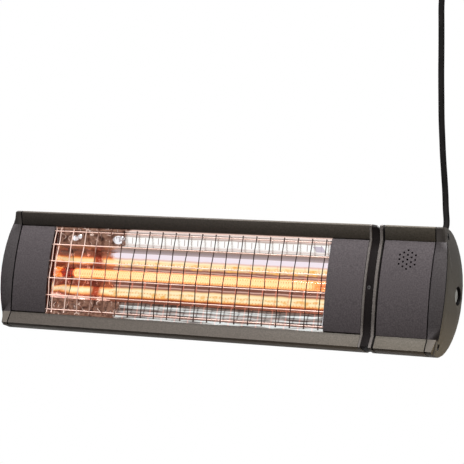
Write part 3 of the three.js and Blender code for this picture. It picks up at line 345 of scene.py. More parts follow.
def colour(code):
    """An sRGB hex code as a linear colour with alpha."""
    channels = [int(code[i : i + 2], 16) / 255 for i in (1, 3, 5)]
    linear = [c / 12.92 if c <= 0.04045 else ((c + 0.055) / 1.055) ** 2.4 for c in channels]
    return (*linear, 1.0)


def feed(node, key, value):
    """Links a Value or a socket to a node's input, or sets the input; text is a hex colour."""
    value = getattr(value, "socket", value)
    if isinstance(value, bpy.types.NodeSocket):
        node.id_data.links.new(value, node.inputs[key])
    else:
        node.inputs[key].default_value = colour(value) if isinstance(value, str) else value


def add(tree, kind, inputs=None, **settings):
    """Adds one node with its settings and its inputs."""
    made = set_all(tree.nodes.new(kind), **settings)
    for key, value in (inputs or {}).items():
        feed(made, key, value)
    return made


def tree_of(*values):
    """The node tree of the first Value among some values."""
    return next(value.socket.id_data for value in values if isinstance(value, Value))


def maths(operation, *values):
    inputs = dict(enumerate(values))
    return Value(add(tree_of(*values), "ShaderNodeMath", inputs, operation=operation).outputs[0])


def new_material(name, **values):
    """A material with one Principled shader; returns it, its shader and its place in mm."""
    material = bpy.data.materials.new(name)
    material.use_nodes = True
    tree = material.node_tree
    tree.nodes.clear()
    inputs = {key.replace("_", " "): value for key, value in values.items()}
    shader = add(tree, "ShaderNodeBsdfPrincipled", inputs)
    output = add(tree, "ShaderNodeOutputMaterial", {"Surface": shader.outputs["BSDF"]})
    output.is_active_output = True
    where = {0: add(tree, "ShaderNodeTexCoord").outputs["Object"], 1: (1000, 1000, 1000)}
    scaled = add(tree, "ShaderNodeVectorMath", where, operation="MULTIPLY")
    return material, shader, Value(scaled.outputs[0])


def axes(vector):
    """The three parts of a vector."""
    parts = add(tree_of(vector), "ShaderNodeSeparateXYZ", {"Vector": vector}).outputs
    return [Value(parts[axis]) for axis in "XYZ"]


def near(value, level, within):
    """1 where a value is within a distance of a level, and 0 elsewhere."""
    return maths("COMPARE", value, level, within)


def grain(spot, size, detail=2.0, stretch=(1, 1, 1)):
    """Noise with lumps of about size millimetres, longer where stretch is under 1."""
    tree = tree_of(spot)
    vector = add(tree, "ShaderNodeVectorMath", {0: spot, 1: stretch}, operation="MULTIPLY")
    inputs = {"Vector": vector.outputs[0], "Scale": 1 / size, "Detail": detail}
    return Value(add(tree, "ShaderNodeTexNoise", inputs).outputs["Fac"])


def ramp(factor, stops):
    """A colour ramp from (position, hex) pairs."""
    made = add(tree_of(factor), "ShaderNodeValToRGB", {"Fac": factor})
    elements = made.color_ramp.elements
    while len(elements) < len(stops):
        elements.new(1.0)
    for element, (position, code) in zip(elements, stops):
        element.position = position
        element.color = colour(code)
    return Value(made.outputs["Color"])


def over_mm(measure, stops):
    """A ramp over a measure in millimetres, its colours given as hex codes or as named tones."""
    low, high = stops[0][0], stops[-1][0]
    factor = (measure - low) / (high - low)
    return ramp(factor, [((at - low) / (high - low), TONES.get(tone, tone)) for at, tone in stops])


def mix(factor, a, b, blend="MIX"):
    inputs = {0: factor, 6: a, 7: b}
    made = add(tree_of(factor, a), "ShaderNodeMix", inputs, data_type="RGBA", blend_type=blend)
    return Value(made.outputs[2])


def bump(shader, height, distance, strength):
    """Relief on a shader, its distance in millimetres."""
    inputs = {"Height": height, "Distance": distance / 1000, "Strength": strength}
    feed(shader, "Normal", add(tree_of(height), "ShaderNodeBump", inputs).outputs["Normal"])


def speckled(name, tones, at, lumps, relief, rise, graded=None, **values):
    """A finish whose tones meet in lumps, with a fine relief; graded changes its tone by place."""
    material, shader, spot = new_material(name, **values)
    tone = ramp(grain(spot, *lumps), list(zip(at, tones)))
    feed(shader, "Base Color", graded(spot, tone) if graded else tone)
    bump(shader, grain(spot, *relief), *rise)
    return material


# ------------------------------------------------------------------ finishes


def powder_coat(name, light, dark, roughness=0.55, grit=1.5, graded=None):
    """Powder coat baked on metal: a fine orange peel and a faint two-tone fleck."""
    values = {"Roughness": roughness, "Specular_IOR_Level": 0.08}
    peel = (grit * 0.7, 1.0)
    return speckled(
        name, (dark, light), (0.34, 0.66), (grit, 3.0), peel, (0.05, 0.4), graded, **values
    )


# painted light and shade on the housing: how the strips' tone changes up the housing, along it and
# back along its underside, in mm
STRIP_RISE = [
    (-69.0, "#ffffff"), (-65.0, "#f4f4f4"), (-57.0, "#e6e6e6"),
    (-54.5, "#c8c8c8"), (-52.0, "#ececec"), (69.0, "#e4e4e4"),
]
STRIP_RUN = [(-260.0, "#e0dede"), (60.0, "#f0eeed"), (160.0, "#fbfaf6"), (260.0, "#fffff8")]
UNDERSIDE = [(0.0, "#8c847d"), (10.0, "#857d76"), (20.0, "#47423e"), (34.0, "#2e2a28")]
UNDER_TOP, UNDER_FADE = -44.0, 8.0
STRIP_FOOT = -67.6
STRIP_BACK = 9.0  # what is deeper than this is underside


def lip_light_and_shade(spot, tone):
    """The housing's coat with painted light and shade: painted paler towards the lower lip's edge
    and the right end, painted light just under the lip and painted shade further beneath.
    """
    along, y, height = axes(spot)
    depth = y - FRONT_EDGES
    tone = mix(1.0, tone, over_mm(height, STRIP_RISE), "MULTIPLY")
    tone = mix(1.0, tone, over_mm(along, STRIP_RUN), "MULTIPLY")
    low = ((UNDER_TOP - height) / UNDER_FADE).held()
    low = low * ((STRIP_FOOT - height).held() | (depth > STRIP_BACK))
    return mix(low * 0.85, tone, over_mm(depth, UNDERSIDE))


# painted light on the caps: strips and side faces lighter towards the bottom and darker towards the
# top, by height in mm
CAP_STRIPS = [(-1.0, "#68625b"), (1.0, "#3e3a37")]
CAP_SIDES = [(-64.0, "#968f80"), (-20.0, "#5c574c"), (10.0, "#4a463d"), (45.0, "#33302a")]
CROWN_EDGE = 0.5  # width of the crown's edge of painted shade
FACE_BACK = 1.6  # how far the cap's face lies behind the arch
SIDE_FACING = 0.72  # how much of a side face's normal points sideways


def cap_light_and_shade(spot, tone):
    """A cap's coat with painted light and shade: painted shade where it never gets light, at its
    groove, its crown's edge and its sunk seats, and strips and side faces painted lighter towards
    the bottom.
    """
    x, y, height = axes(spot)
    out, depth, square = abs(x), y - FRONT_EDGES, height * height
    groove = near(out, CAP_FOOT + SEAM_WIDTH / 2, SEAM_WIDTH / 2 + 0.05)
    crown = (CROWN_TOP - CROWN_EDGE) - square / (2 * CROWN_RADIUS)
    face = square / (2 * ARCH_RADIUS) + FACE_BACK
    at_edge = (out > crown) * (depth < face) * (square < PLATE_HALF**2)

    def disc(d, z, radius, level):
        return (depth - d) ** 2 + (level - z) ** 2 < radius**2

    button = disc(*BUTTON_RECESS, height) * (x > 0)
    dark = groove | at_edge | button | disc(*CAP_SCREW, abs(height))
    strip = mix(0.12, over_mm(height, CAP_STRIPS), tone)
    side = mix(0.25, over_mm(height, CAP_SIDES), tone)
    normal = Value(add(tree_of(spot), "ShaderNodeNewGeometry").outputs["True Normal"])
    sideways = (abs(axes(normal)[0]) > SIDE_FACING) | (out > crown)
    tone = mix(sideways, mix(square > PLATE_HALF**2, tone, strip), side)
    return mix(dark, tone, "#0b0909")


def moulded_plastic(name, tone, lighter, roughness=0.6):
    """Plastic from a spark-eroded mould: matt, with a very fine even grit."""
    values = {"Roughness": roughness, "Specular_IOR_Level": 0.05}
    return speckled(name, (tone, lighter), (0.35, 0.7), (0.8, 2.0), (0.5,), (0.03, 0.5), **values)


def soft_rubber(name, tone, lighter):
    """Black rubber: matt, with a faint bloom and lengthwise drawing marks."""
    bloom, marks = (6, 3.0, (1, 1, 0.25)), (0.9, 1.0, (1, 1, 0.1))
    values = {"Roughness": 0.7, "Specular_IOR_Level": 0.04}
    return speckled(name, (tone, lighter), (0.3, 0.75), bloom, marks, (0.02, 0.2), **values)


def drawn_steel(name, light, dark, roughness=0.32, size=1.6):
    """Bare or plated metal, dull or satin: cloudy patches of a millimetre or more."""
    values = {"Roughness": roughness, "Metallic": 1.0}
    return speckled(name, (dark, light), (0.3, 0.7), (size, 3.0), (0.5,), (0.02, 0.4), **values)


def fired_ceramic(name):
    """Steatite lamp base: unglazed, off-white, with a fine grain and brown firing marks."""
    tones = ("#d9d0c2", "#ece6da", "#b89c80")
    return speckled(name, tones, (0.35, 0.6, 0.85), (5, 4.0), (0.5,), (0.05, 0.6), Roughness=0.72)


def woven_sleeve(name):
    """Braided glass sleeve of the lamp's leads: cream threads a millimetre apart, crossing."""
    material, shader, spot = new_material(name, Roughness=0.85)
    inputs = {"Vector": spot, "Scale": 0.16, "Distortion": 1.5, "Detail": 1.0}
    kind = {"wave_type": "BANDS", "bands_direction": "DIAGONAL"}
    threads = Value(add(tree_of(spot), "ShaderNodeTexWave", inputs, **kind).outputs["Fac"])
    feed(shader, "Base Color", ramp(threads, [(0.2, "#b5ad9c"), (0.7, "#e6dfce")]))
    bump(shader, threads, 0.15, 0.6)
    return material


def circuit_laminate(name):
    """Epoxy board under green solder mask: tracks a millimetre and a half wide, a little glossy."""
    material, shader, spot = new_material(name, Roughness=0.35)
    inputs = {"Vector": spot, "Scale": 0.25, "Mortar Size": 0.04}
    inputs |= {"Color1": "#14512e", "Color2": "#0f4627", "Mortar": "#2f7a4a"}
    tracks = add(tree_of(spot), "ShaderNodeTexBrick", inputs).outputs
    feed(shader, "Base Color", tracks["Color"])
    bump(shader, Value(tracks["Fac"]), 0.03, 0.4)
    return material


def lamp_quartz(name):
    """Fused quartz tube: clear, polished by the flame, with a painted warm glow where the coil
    lights its wall.
    """
    values = {"Roughness": 0.02, "IOR": 1.46, "Transmission_Weight": 1.0}
    material, shader, spot = new_material(name, Emission_Color="#ff8a34", **values)
    clear = ramp(grain(spot, 12, 2.0, (0.2, 1, 1)), [(0.3, "#fff4e6"), (0.7, "#fffcf8")])
    ragged = (grain(spot, 3) - 0.5) * 7.0
    past = abs(axes(spot)[0] - (COLD_MIDDLE + HEATER_LEFT)) + ragged - COLD_HALF
    # painted glow: a weak warm emission on the wall away from the coil's cool stretch, where the
    # wall is painted a dull red tint instead
    lit = (past / 2.0).held()
    feed(shader, "Base Color", mix(lit, "#c4562e", clear))
    feed(shader, "Emission Strength", lit * 0.24)
    return material


def hot_tungsten(name):
    """Tungsten coil at working heat: pale yellow where it is hottest, orange at its cold ends."""
    values = {"Roughness": 0.5, "Metallic": 1.0, "Emission_Strength": 1.04}
    material, shader, spot = new_material(name, Base_Color="#3a2a20", **values)
    along = axes(spot)[0]
    middle = (COIL_START + COIL_END) / 2 + HEATER_LEFT
    reach = (COIL_END - COIL_START) / 2
    # its first turns stay dull red
    dull = (COLD_MIDDLE + COLD_HALF + 1.5 + HEATER_LEFT - along).held()
    flicker = (grain(spot, 14, 2.0) - 0.5) * 0.10
    ramp_position = abs(along - middle) / (reach + 6) + dull * 0.02 + flicker
    stops = [(0.0, "#ffe2b4"), (0.93, "#ffd8a2"), (0.97, "#f58c34"), (1.0, "#a8401c")]
    feed(shader, "Emission Color", ramp(ramp_position, stops))
    return material


WIRE_SHADE_FROM = 85.0  # x from which the guard wire's painted pale pink gives way to painted darker brown


def wire_with_painted_light(name, middle="#80584a", right_tone="#2c1c17", metallic=0.75, lit=0.0):
    """Bright drawn wire with painted light and shade: painted pale pink at the left and darker brown
    towards the right; lit adds a painted glow.
    """
    values = {"Roughness": 0.34, "Metallic": metallic, "Emission_Strength": lit}
    material, shader, spot = new_material(name, Emission_Color="#ffb49a", **values)
    patchy = (grain(spot, 18, 2.0) - 0.5) * 60.0
    ramp_position = ((axes(spot)[0] + patchy - (WIRE_SHADE_FROM + HEATER_LEFT)) / 60.0).held()
    feed(shader, "Base Color", ramp(ramp_position, [(0.0, "#f2d6cb"), (0.5, middle), (1.0, right_tone)]))
    bump(shader, grain(spot, 0.6), 0.02, 0.4)
    return material


# The tones of the trough's painted reflections and glow, named for what they look like in the metal.
TONES = {
    "core": "#fff2ca",  # the coil's own picture
    "glow": "#fddea4", "flame": "#f09648", "ember": "#9a4a2c", "garnet": "#5c1a10",
    "umber": "#6c4030", "copper": "#784e42", "tan": "#c48c6e", "blush": "#e4bcae",
    "pearl": "#eee6f0", "silver": "#bcb0ac", "pewter": "#86766e", "iron": "#42302a",
    "soot": "#1c1412",
    "frost": "#e8eeee",  # the clean sheet
}
# Painted reflections, as glow by height in mm up the trough. The flat walls from the mouth to the
# curved back lie between 33 and 31 mm; the lamp's two painted pictures lie at 18 mm, and the brown
# gaps beside the tube within 10.
GLOW_STOPS = [
    (-55.0, "soot"), (-33.0, "soot"), (-29.0, "umber"), (-25.4, "copper"), (-23.2, "ember"),
    (-22.0, "flame"), (-20.8, "glow"), (-18.8, "core"), (-16.6, "glow"), (-14.0, "core"),
    (-12.0, "glow"), (-10.8, "tan"), (-9.6, "copper"), (-8.0, "blush"), (-7.2, "copper"),
    (11.2, "copper"), (12.2, "blush"), (13.2, "copper"), (15.4, "tan"), (16.4, "glow"),
    (18.4, "core"), (20.6, "glow"), (22.4, "core"), (24.2, "blush"), (25.8, "pearl"),
    (30.6, "pearl"), (31.0, "pewter"), (31.6, "iron"), (33.4, "iron"), (33.8, "pewter"),
    (55.0, "pewter"),
]
# the same painted glow at the trough's dark left end
COLD_STOPS = [
    (-55.0, "soot"), (-33.0, "soot"), (-31.8, "blush"), (-27.8, "blush"), (-25.0, "umber"),
    (-22.6, "ember"), (-21.4, "flame"), (-19.0, "glow"), (-16.6, "core"), (-14.0, "glow"),
    (-12.4, "flame"), (-11.2, "garnet"), (13.2, "garnet"), (15.2, "ember"), (16.6, "flame"),
    (18.6, "glow"), (21.2, "glow"), (23.2, "flame"), (24.6, "ember"), (27.0, "umber"),
    (31.0, "iron"), (33.2, "iron"), (33.4, "soot"), (55.0, "soot"),
]
# painted reflections in the sheet's colour: dull where it glows, bright and streaked on its flanges
SHEEN_STOPS = [
    (-55.0, "blush"), (-53.0, "frost"), (-50.4, "frost"), (-49.2, "silver"), (-47.2, "pewter"),
    (-45.6, "silver"), (-44.4, "frost"), (-42.8, "silver"), (-41.4, "pewter"), (-40.2, "frost"),
    (-37.0, "frost"), (-36.0, "pewter"), (-34.0, "pewter"), (-33.0, "umber"), (-24.6, "soot"),
    (33.0, "iron"), (33.4, "frost"), (34.6, "silver"), (37.6, "frost"), (44.2, "frost"),
    (45.4, "pewter"), (46.4, "silver"), (49.4, "silver"), (51.0, "silver"), (52.6, "blush"),
    (53.2, "umber"), (55.0, "umber"),
]
# painted reflections: streaks on the lower flange, and the clutter the left end mirrors
STREAK_STOPS = [(0.38, "#4c3a34"), (0.48, "#d0c4be"), (0.56, "#ffffff")]
CLUTTER_STOPS = [
    (0.30, "#281611"), (0.44, "#735042"), (0.56, "#94705f"), (0.66, "#54342a"), (0.72, "#e8d2c6"),
]
# where the painted reflections lie, in mm
BAR_HEIGHT, BAR_HALF = 18.0, 3.6  # the lamp's painted pictures, above and below the middle
TURN_PITCH, DOT_PITCH = 4.0, 4.4  # the coil's marks in them, along and across
GHOST_TOP, GHOST_HALF = 24.5, 1.3
GAP_HALF = 12.0
MARK_HEIGHT, MARK_REACH, MARK_HALF = 40.8, 3.6, 0.55
BLUE_FROM_RIGHT, BLUE_REACH, BLUE_HEIGHT, BLUE_HALF = 16.0, 6.5, 40.0, 3.2
COLD_PATCH, COLD_PATCH_HALF = 85.5, 9.0
BROWN_END, BROWN_MORE, BROWN_FADE = 109.0, 38.0, 5.0  # its end, and how much later on a flange
RAGGED = 26.0
CURVE_TOP, FLANGE_FOOT = 30.0, 34.0  # the curved back ends, and the flange begins


def rolled_sheet(name, roughness):
    """Rolled aluminium with faint rolling lines along its length and a slow waviness."""
    material, shader, spot = new_material(name, Roughness=roughness, Metallic=1.0)
    rolled = grain(spot, 1.5, 2.0, (0.02, 1, 1))
    bump(shader, rolled * 0.2 + grain(spot, 26, 1.0, (0.5, 1, 1)), 0.5, 0.35)
    return material, shader, spot, rolled


def mirror_sheet(name):
    """Mirror-rolled aluminium: cold and bright, with faint rolling lines along its length."""
    material, shader, _, rolled = rolled_sheet(name, 0.07)
    feed(shader, "Base Color", ramp(rolled, [(0.3, "#d6d4d8"), (0.7, "#ecebee")]))
    return material


def lamp_pictures(spot, along, height, shaken, beside):
    """Painted reflections in the trough's glow: the two pictures of the lamp that the trough throws
    forward, and the brown gaps between.
    """
    glow = over_mm(shaken, GLOW_STOPS)
    # the turns of the coil, as two rows of small darker marks in each bar
    turn = maths("SINE", along * (2 * math.pi / TURN_PITCH))
    row = maths("SINE", height * (2 * math.pi / DOT_PITCH))
    in_bars = near(abs(height), BAR_HEIGHT, BAR_HALF)
    dots = ((turn + row - 1.2) * 0.9 * in_bars).held()
    glow = mix(dots, glow, "#e0762c", "MULTIPLY")
    # painted: the coil shows through in a warmer, patchy yellow
    patches = ((grain(spot, 7, 2.0, (0.7, 1, 1)) - 0.5) * 5.0).held()
    glow = mix(patches * in_bars, glow, "#f6b65c")
    # painted reflection: each upright is mirrored beside itself as a thin reddish line, weakest
    # across the bars
    ghost = (1.0 - beside / GHOST_HALF).held() * (height < GHOST_TOP)
    strength = (abs(height) < GAP_HALF) * 0.5 + 0.35
    return mix(ghost * strength, glow, "#e2846c")


def cold_pictures(along, shaken):
    """Painted reflections at the left end: the same, with a dark red patch in each bar for the
    lamp's cold end.
    """
    patch = abs(along - (COLD_PATCH + HEATER_LEFT))
    cold = ((1.0 - patch / COLD_PATCH_HALF).held() * 1.6).held()
    return mix(cold, over_mm(shaken, COLD_STOPS), "#9a4026", "MULTIPLY")


def flange_sheen(spot, along, height, shaken, beside):
    """Painted reflections on the flanges: streaks on the lower one, the guard's uprights on the
    upper.
    """
    sheen = over_mm(shaken, SHEEN_STOPS)
    streaks = ramp(grain(spot, 1.7, 3.0, (0.05, 1, 1)), STREAK_STOPS)
    sheen = mix(height < -MOUTH_HALF, sheen, mix(0.85, sheen, streaks, "MULTIPLY"))
    marks = (beside < MARK_HALF) * near(height, MARK_HEIGHT, MARK_REACH)
    sheen = mix(marks, sheen, "#8e8a8c")
    # a painted bluish reflection near the upper one's right end: the gap beside the plate
    slanted = along + (height - BLUE_HEIGHT) * 0.8
    blue = (BLUE_REACH - abs(slanted - (WINDOW_RIGHT - BLUE_FROM_RIGHT + HEATER_LEFT))).held()
    return mix(blue * 0.8 * near(height, BLUE_HEIGHT, BLUE_HALF), sheen, "#8e8aa6")


def mirrored_clutter(spot, along, height, wobble):
    """Painted reflections at the brown left end: brown parts beside the lamp, lines and blots of
    light.
    """
    clutter = ramp(grain(spot, 5, 4.0, (0.7, 1, 1)), CLUTTER_STOPS)
    # painted reflection: pale bent lines for the guard's uprights
    tooth = maths("PINGPONG", along + grain(spot, 11, 1.0) * 34.0, 6.4)
    line = (1.0 - tooth / 0.85).held()
    line = line * ramp(grain(spot, 7, 1.0), [(0.42, "#000000"), (0.56, "#ffffff")])
    clutter = mix(line, clutter, "#f6dcd0")
    # painted highlight: each rivet's dome gets a pale blot on the sheet beside it
    pale = ramp(grain(spot, 4, 2.0), [(0.38, "#a09aa0"), (0.52, "#f6f4f8")])
    for x, radius in RIVET_BLOTS:
        across, rising = (along - (x + HEATER_LEFT)) ** 2, (height - RIVET_HEIGHT) ** 2
        far = maths("SQRT", across + rising * 2.0)
        clutter = mix((radius - (far + wobble * 3.0)).held(), clutter, pale)
    return clutter


def lit_sheet(name):
    """Mirror-rolled aluminium over the lamp, with painted reflections: two bright bars and brown
    gaps painted as glow, and a brown left end painted into its colour.
    """
    material, shader, spot, _ = rolled_sheet(name, 0.26)
    along, _, height = axes(spot)
    wobble = grain(spot, 9, 3.0, (0.6, 1, 1)) - 0.5
    # the walls are drawn within 2 mm of height, so nothing shakes there
    curved, flange = (CURVE_TOP - abs(height)).held(), (abs(height) - FLANGE_FOOT).held()
    shaken = height + wobble * (curved + flange) * 2.0
    beside = maths("PINGPONG", along + UPRIGHT_PHASE, UPRIGHT_PITCH / 2)
    on_flange = ((abs(height) - CURVE_TOP) / (FLANGE_FOOT - CURVE_TOP)).held()
    limit = on_flange * BROWN_MORE + (BROWN_END + HEATER_LEFT)
    brown = ((limit + wobble * RAGGED - along) / BROWN_FADE).held()
    glow = lamp_pictures(spot, along, height, shaken, beside)
    sheen = flange_sheen(spot, along, height, shaken, beside)
    clutter = mirrored_clutter(spot, along, height, wobble)
    feed(shader, "Base Color", mix(brown, sheen, clutter))
    feed(shader, "Emission Color", mix(brown, glow, cold_pictures(along, shaken)))
    feed(shader, "Emission Strength", 1.0)
    return material


FINISHES = {}


def make_finishes():
    """Every material once, by the record's slot."""
    FINISHES.update(
        housing_coat=powder_coat(
            "anthracite powder coat, housing", "#6b645e", "#59544e", graded=lip_light_and_shade
        ),
        plate_coat=powder_coat("anthracite powder coat, plates", "#575153", "#464143"),
        cap_coat=powder_coat(
            "anthracite powder coat, end caps", "#4b4748", "#3d393a", graded=cap_light_and_shade
        ),
        rim_coat=powder_coat("anthracite powder coat, rims", "#6f6966", "#5a5552", 0.45),
        black_plastic=moulded_plastic("glass-filled nylon, black", "#120f0f", "#1f1b1b"),
        gasket_rubber=soft_rubber("gasket rubber", "#080707", "#131111"),
        reflector_sheet=mirror_sheet("mirror-rolled aluminium"),
        lit_trough=lit_sheet("mirror-rolled aluminium, lit trough"),
        guard_wire=wire_with_painted_light("drawn wire, painted light and shade"),
        # painted lamp glow: the rows painted pale pink all along, with a weak pink emission
        guard_row=wire_with_painted_light("drawn wire, lit by the lamp", "#e8d0c6", "#dcc4ba", 0.3, 0.22),
        # painted reflection: the left end's fold painted brown, like the brown the trough mirrors
        # there
        browned_sheet=drawn_steel("aluminium, painted brown reflection", "#9a6450", "#5c3428", 0.14, 5.0),
        dull_steel=drawn_steel("dull zinc-plated steel", "#5e5c5c", "#3a3838", 0.5),
        black_steel=drawn_steel("blackened steel", "#242222", "#151313", 0.5),
        quartz=lamp_quartz("fused quartz"),
        filament_wire=hot_tungsten("tungsten at working heat"),
        ceramic=fired_ceramic("steatite ceramic"),
        holder_steel=drawn_steel("pressed steel sheet", "#a09a94", "#7c7670", 0.4, 3.0),
        screw_steel=drawn_steel("zinc-plated steel", "#b4b4b8", "#86868a"),
        bracket_coat=powder_coat("black powder coat, bracket", "#2b2929", "#1d1b1b", 0.55),
        button_metal=drawn_steel("satin aluminium", "#a9a9a4", "#93938e", 0.42, 4.0),
        sounder_plastic=moulded_plastic("moulded ABS, sounder", "#0e0e0f", "#1b1b1c", 0.3),
        board_laminate=circuit_laminate("epoxy circuit board"),
        relay_plastic=moulded_plastic("moulded PBT, relay", "#182f66", "#24407c", 0.35),
        terminal_plastic=moulded_plastic("polyamide, terminal block", "#2f6a44", "#3f8054", 0.45),
        lead_sleeve=woven_sleeve("braided glass sleeve"),
        cord_rubber=soft_rubber("rubber lead sheath", "#0b0a0a", "#171515"),
        pin_metal=drawn_steel("nickel-plated brass", "#cdc6b8", "#aaa294", 0.22),
    )


# ------------------------------------------------------------------ settings


class GuardSettings(bpy.types.PropertyGroup):
    """Sizes of the wire guard."""

    pitch: bpy.props.FloatProperty(
        name="Upright pitch", description="From upright to upright", default=0.01728, unit="LENGTH"
    )
    row_pitch: bpy.props.FloatProperty(
        name="Row pitch", description="Height between two rows", default=0.0206, unit="LENGTH"
    )
    wire_radius: bpy.props.FloatProperty(
        name="Wire radius", description="Radius of the drawn wire", default=0.0006, unit="LENGTH"
    )


class LampSettings(bpy.types.PropertyGroup):
    """Sizes of the lamp's coil."""

    coil_radius: bpy.props.FloatProperty(
        name="Coil radius", description="Radius of the wound coil", default=0.0036, unit="LENGTH"
    )
    wire_radius: bpy.props.FloatProperty(
        name="Filament radius", description="Radius of its wire", default=0.0008, unit="LENGTH"
    )
    coil_pitch: bpy.props.FloatProperty(
        name="Coil pitch", description="Length of one turn", default=0.0032, unit="LENGTH"
    )


class CordSettings(bpy.types.PropertyGroup):
    """Sizes of the mains lead."""

    radius: bpy.props.FloatProperty(
        name="Lead radius", description="Radius of the rubber lead", default=0.0036, unit="LENGTH"
    )


class StageSettings(bpy.types.PropertyGroup):
    """The light round the heater."""

    key_power: bpy.props.FloatProperty(
        name="Key lamp", description="Power of the lamp above the front, in watts", default=76.0
    )
    fill_power: bpy.props.FloatProperty(
        name="Fill lamp", description="Power of the weak lamp at the right, in watts", default=9.0
    )
    back_power: bpy.props.FloatProperty(
        name="Back light", description="Power of the lamp behind, in watts", default=22.0
    )
    room: bpy.props.FloatProperty(
        name="Room light", description="Strength of the even light from the room", default=0.05
    )


# ------------------------------------------------------------------ operators


class HEATER_OT_mains_lead(bpy.types.Operator):
    """Makes the rubber lead from the gland to its plug"""

    bl_idname = "heater.mains_lead"
    bl_label = "Mains lead"

    def execute(self, context):
        up = Vector((0, math.sin(GLAND_TILT), math.cos(GLAND_TILT)))
        start = place(*(GLAND + up * GLAND_REACH))
        route = [start, *(place(*point) for point in CORD_ROUTE)]
        line = catmull_rom(route, 4)
        radius = context.scene.heater_cord.radius
        lead = tube_along("mains_lead", line, radius, 18)
        lead.data.materials.append(FINISHES["cord_rubber"])
        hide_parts("mains_cord")
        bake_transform(lead)
        plug = dressed("plug_body", "black_plastic", 1.0, 3)
        pins = [dressed(n, "pin_metal", 0.5) for n in ("plug_pin_left", "plug_pin_right")]
        reach = sum((b - a).length for a, b in zip(line, line[1:]))
        dressed("cable_gland", "black_plastic", 0.4)
        return {"FINISHED"}


class HEATER_OT_casing(bpy.types.Operator):
    """Makes the extrusions, the arched plates, the end caps and the parts of the joint"""

    bl_idname = "heater.casing"
    bl_label = "Casing"

    def execute(self, context):
        dress_all(("main_housing module_housing", "housing_coat", 0.45, 3))
        for node in ("left_front_plate", "right_front_plate"):
            arch_shaded(dressed(node, "plate_coat"))
        darkened_holes(arch_shaded(dressed("module_front_plate", "plate_coat")), "black_plastic")
        dress_all(
            ("left_end_cap right_end_cap", "cap_coat", 0.4, 3),
            ("main_right_cap module_left_cap", "rim_coat", 0.5, 3),
            ("joint_spacer", "black_plastic", 0.5, 3),
            ("module_seal", "gasket_rubber", 0.4),
        )
        return {"FINISHED"}


class HEATER_OT_reflector(bpy.types.Operator):
    """Makes the polished trough, its two ends and its rivets"""

    bl_idname = "heater.reflector"
    bl_label = "Reflector"

    def trough(self):
        """The sheet from its upper flange round the curved back to its lower flange."""
        centre = TROUGH_DEPTH - TROUGH_RADIUS
        swing = math.asin(TROUGH_HALF / TROUGH_RADIUS)
        steps = 64
        arc = []
        for i in range(steps + 1):
            angle = swing - 2 * swing * i / steps
            arc.append((centre + TROUGH_RADIUS * math.cos(angle), TROUGH_RADIUS * math.sin(angle)))
        flange = [(FLANGE_DEPTH, FLANGE_HALF), (MOUTH_DEPTH, MOUTH_HALF)]
        front = flange + arc + [(d, -z) for d, z in reversed(flange)]
        back = []
        for i, (d, z) in enumerate(front):
            before, after = Vector(front[max(i - 1, 0)]), Vector(front[min(i + 1, len(front) - 1)])
            along = (after - before).normalized()
            back.append((d - along.y * SHEET, z + along.x * SHEET))
        ring = front + back[::-1]
        count = len(ring)
        rings = [[place(x, d, z) for d, z in ring] for x in (TROUGH_START, TROUGH_END)]
        ends = [(i, i + 1, count - 2 - i, count - 1 - i) for i in range(len(front) - 1)]
        return lofted("reflector_sheet", rings, ends)

    def trim(self, name, sign):
        """A strip of sheet along the window's edge that closes the gap in front of a flange; it
        carries the trough's painted reflection.
        """
        section = []
        for offset, heights in ((1.9, (49.7, 51.6, 53.5)), (2.2, (53.5, 51.6, 49.7))):
            section += [(arch_depth(z, offset), sign * z) for z in heights]
        ends = (WINDOW_LEFT + 0.1, WINDOW_RIGHT - 0.1)
        return lofted("reflector_trim_" + name, [[place(x, d, z) for d, z in section] for x in ends])

    def left_return(self):
        """The bent edge of the left end, from behind the front plate back to the trough."""
        near_x, far_x, web, back = 47.3, 48.0, 49.8, 9.2
        rings = []
        for k in range(17):
            z = -RETURN_HALF + 2 * RETURN_HALF * k / 16
            front, inner = arch_depth(z, 2.2), back - 0.6
            plan = [(near_x, front), (far_x, front), (far_x, inner), (web, inner), (web, back)]
            rings.append([place(x, d, z) for x, d in [*plan, (near_x, back)]])
        return lofted("reflector_left_return", rings)

    def execute(self, context):
        trough = smooth(self.trough(), 30)
        put_on(trough, "lit_trough", ["reflector_trough"])
        for sign, name in ((1, "upper"), (-1, "lower")):
            put_on(smooth(self.trim(name, sign), 30), "lit_trough")
        put_on(smooth(self.left_return(), 30), "browned_sheet")
        dress_all(
            ("reflector_left_end reflector_right_end", "reflector_sheet", 0.15),
            ("reflector_rivet_outer reflector_rivet_inner", "reflector_sheet", 0),
        )
        return {"FINISHED"}


def shape_tree(name, numbers, takes_shape=False):
    """A geometry node tree; returns it, its inputs' sockets and each number's identifier."""
    tree = bpy.data.node_groups.new(name, "GeometryNodeTree")
    geometry = {"name": "Geometry", "socket_type": "NodeSocketGeometry"}
    tree.interface.new_socket(in_out="OUTPUT", **geometry)
    if takes_shape:
        tree.interface.new_socket(in_out="INPUT", **geometry)
    sizes = {}
    for label, kind, default in numbers:
        socket = tree.interface.new_socket(label, in_out="INPUT", socket_type="NodeSocket" + kind)
        socket.default_value = default
        sizes[label] = socket.identifier
    return tree, add(tree, "NodeGroupInput").outputs, sizes


def swept_wire(tree, curve, radius, sides):
    """A round wire along a curve."""
    section = add(tree, "GeometryNodeCurvePrimitiveCircle", {"Resolution": sides, "Radius": radius})
    inputs = {"Curve": curve, "Profile Curve": section.outputs[0], "Fill Caps": True}
    return add(tree, "GeometryNodeCurveToMesh", inputs).outputs[0]


def give_out(tree, shape, material):
    """The shape as real geometry with its material, at the tree's output."""
    whole = add(tree, "GeometryNodeRealizeInstances", {"Geometry": shape}).outputs[0]
    painted = add(tree, "GeometryNodeSetMaterial", {"Geometry": whole, "Material": material})
    add(tree, "NodeGroupOutput", {0: painted.outputs[0]})


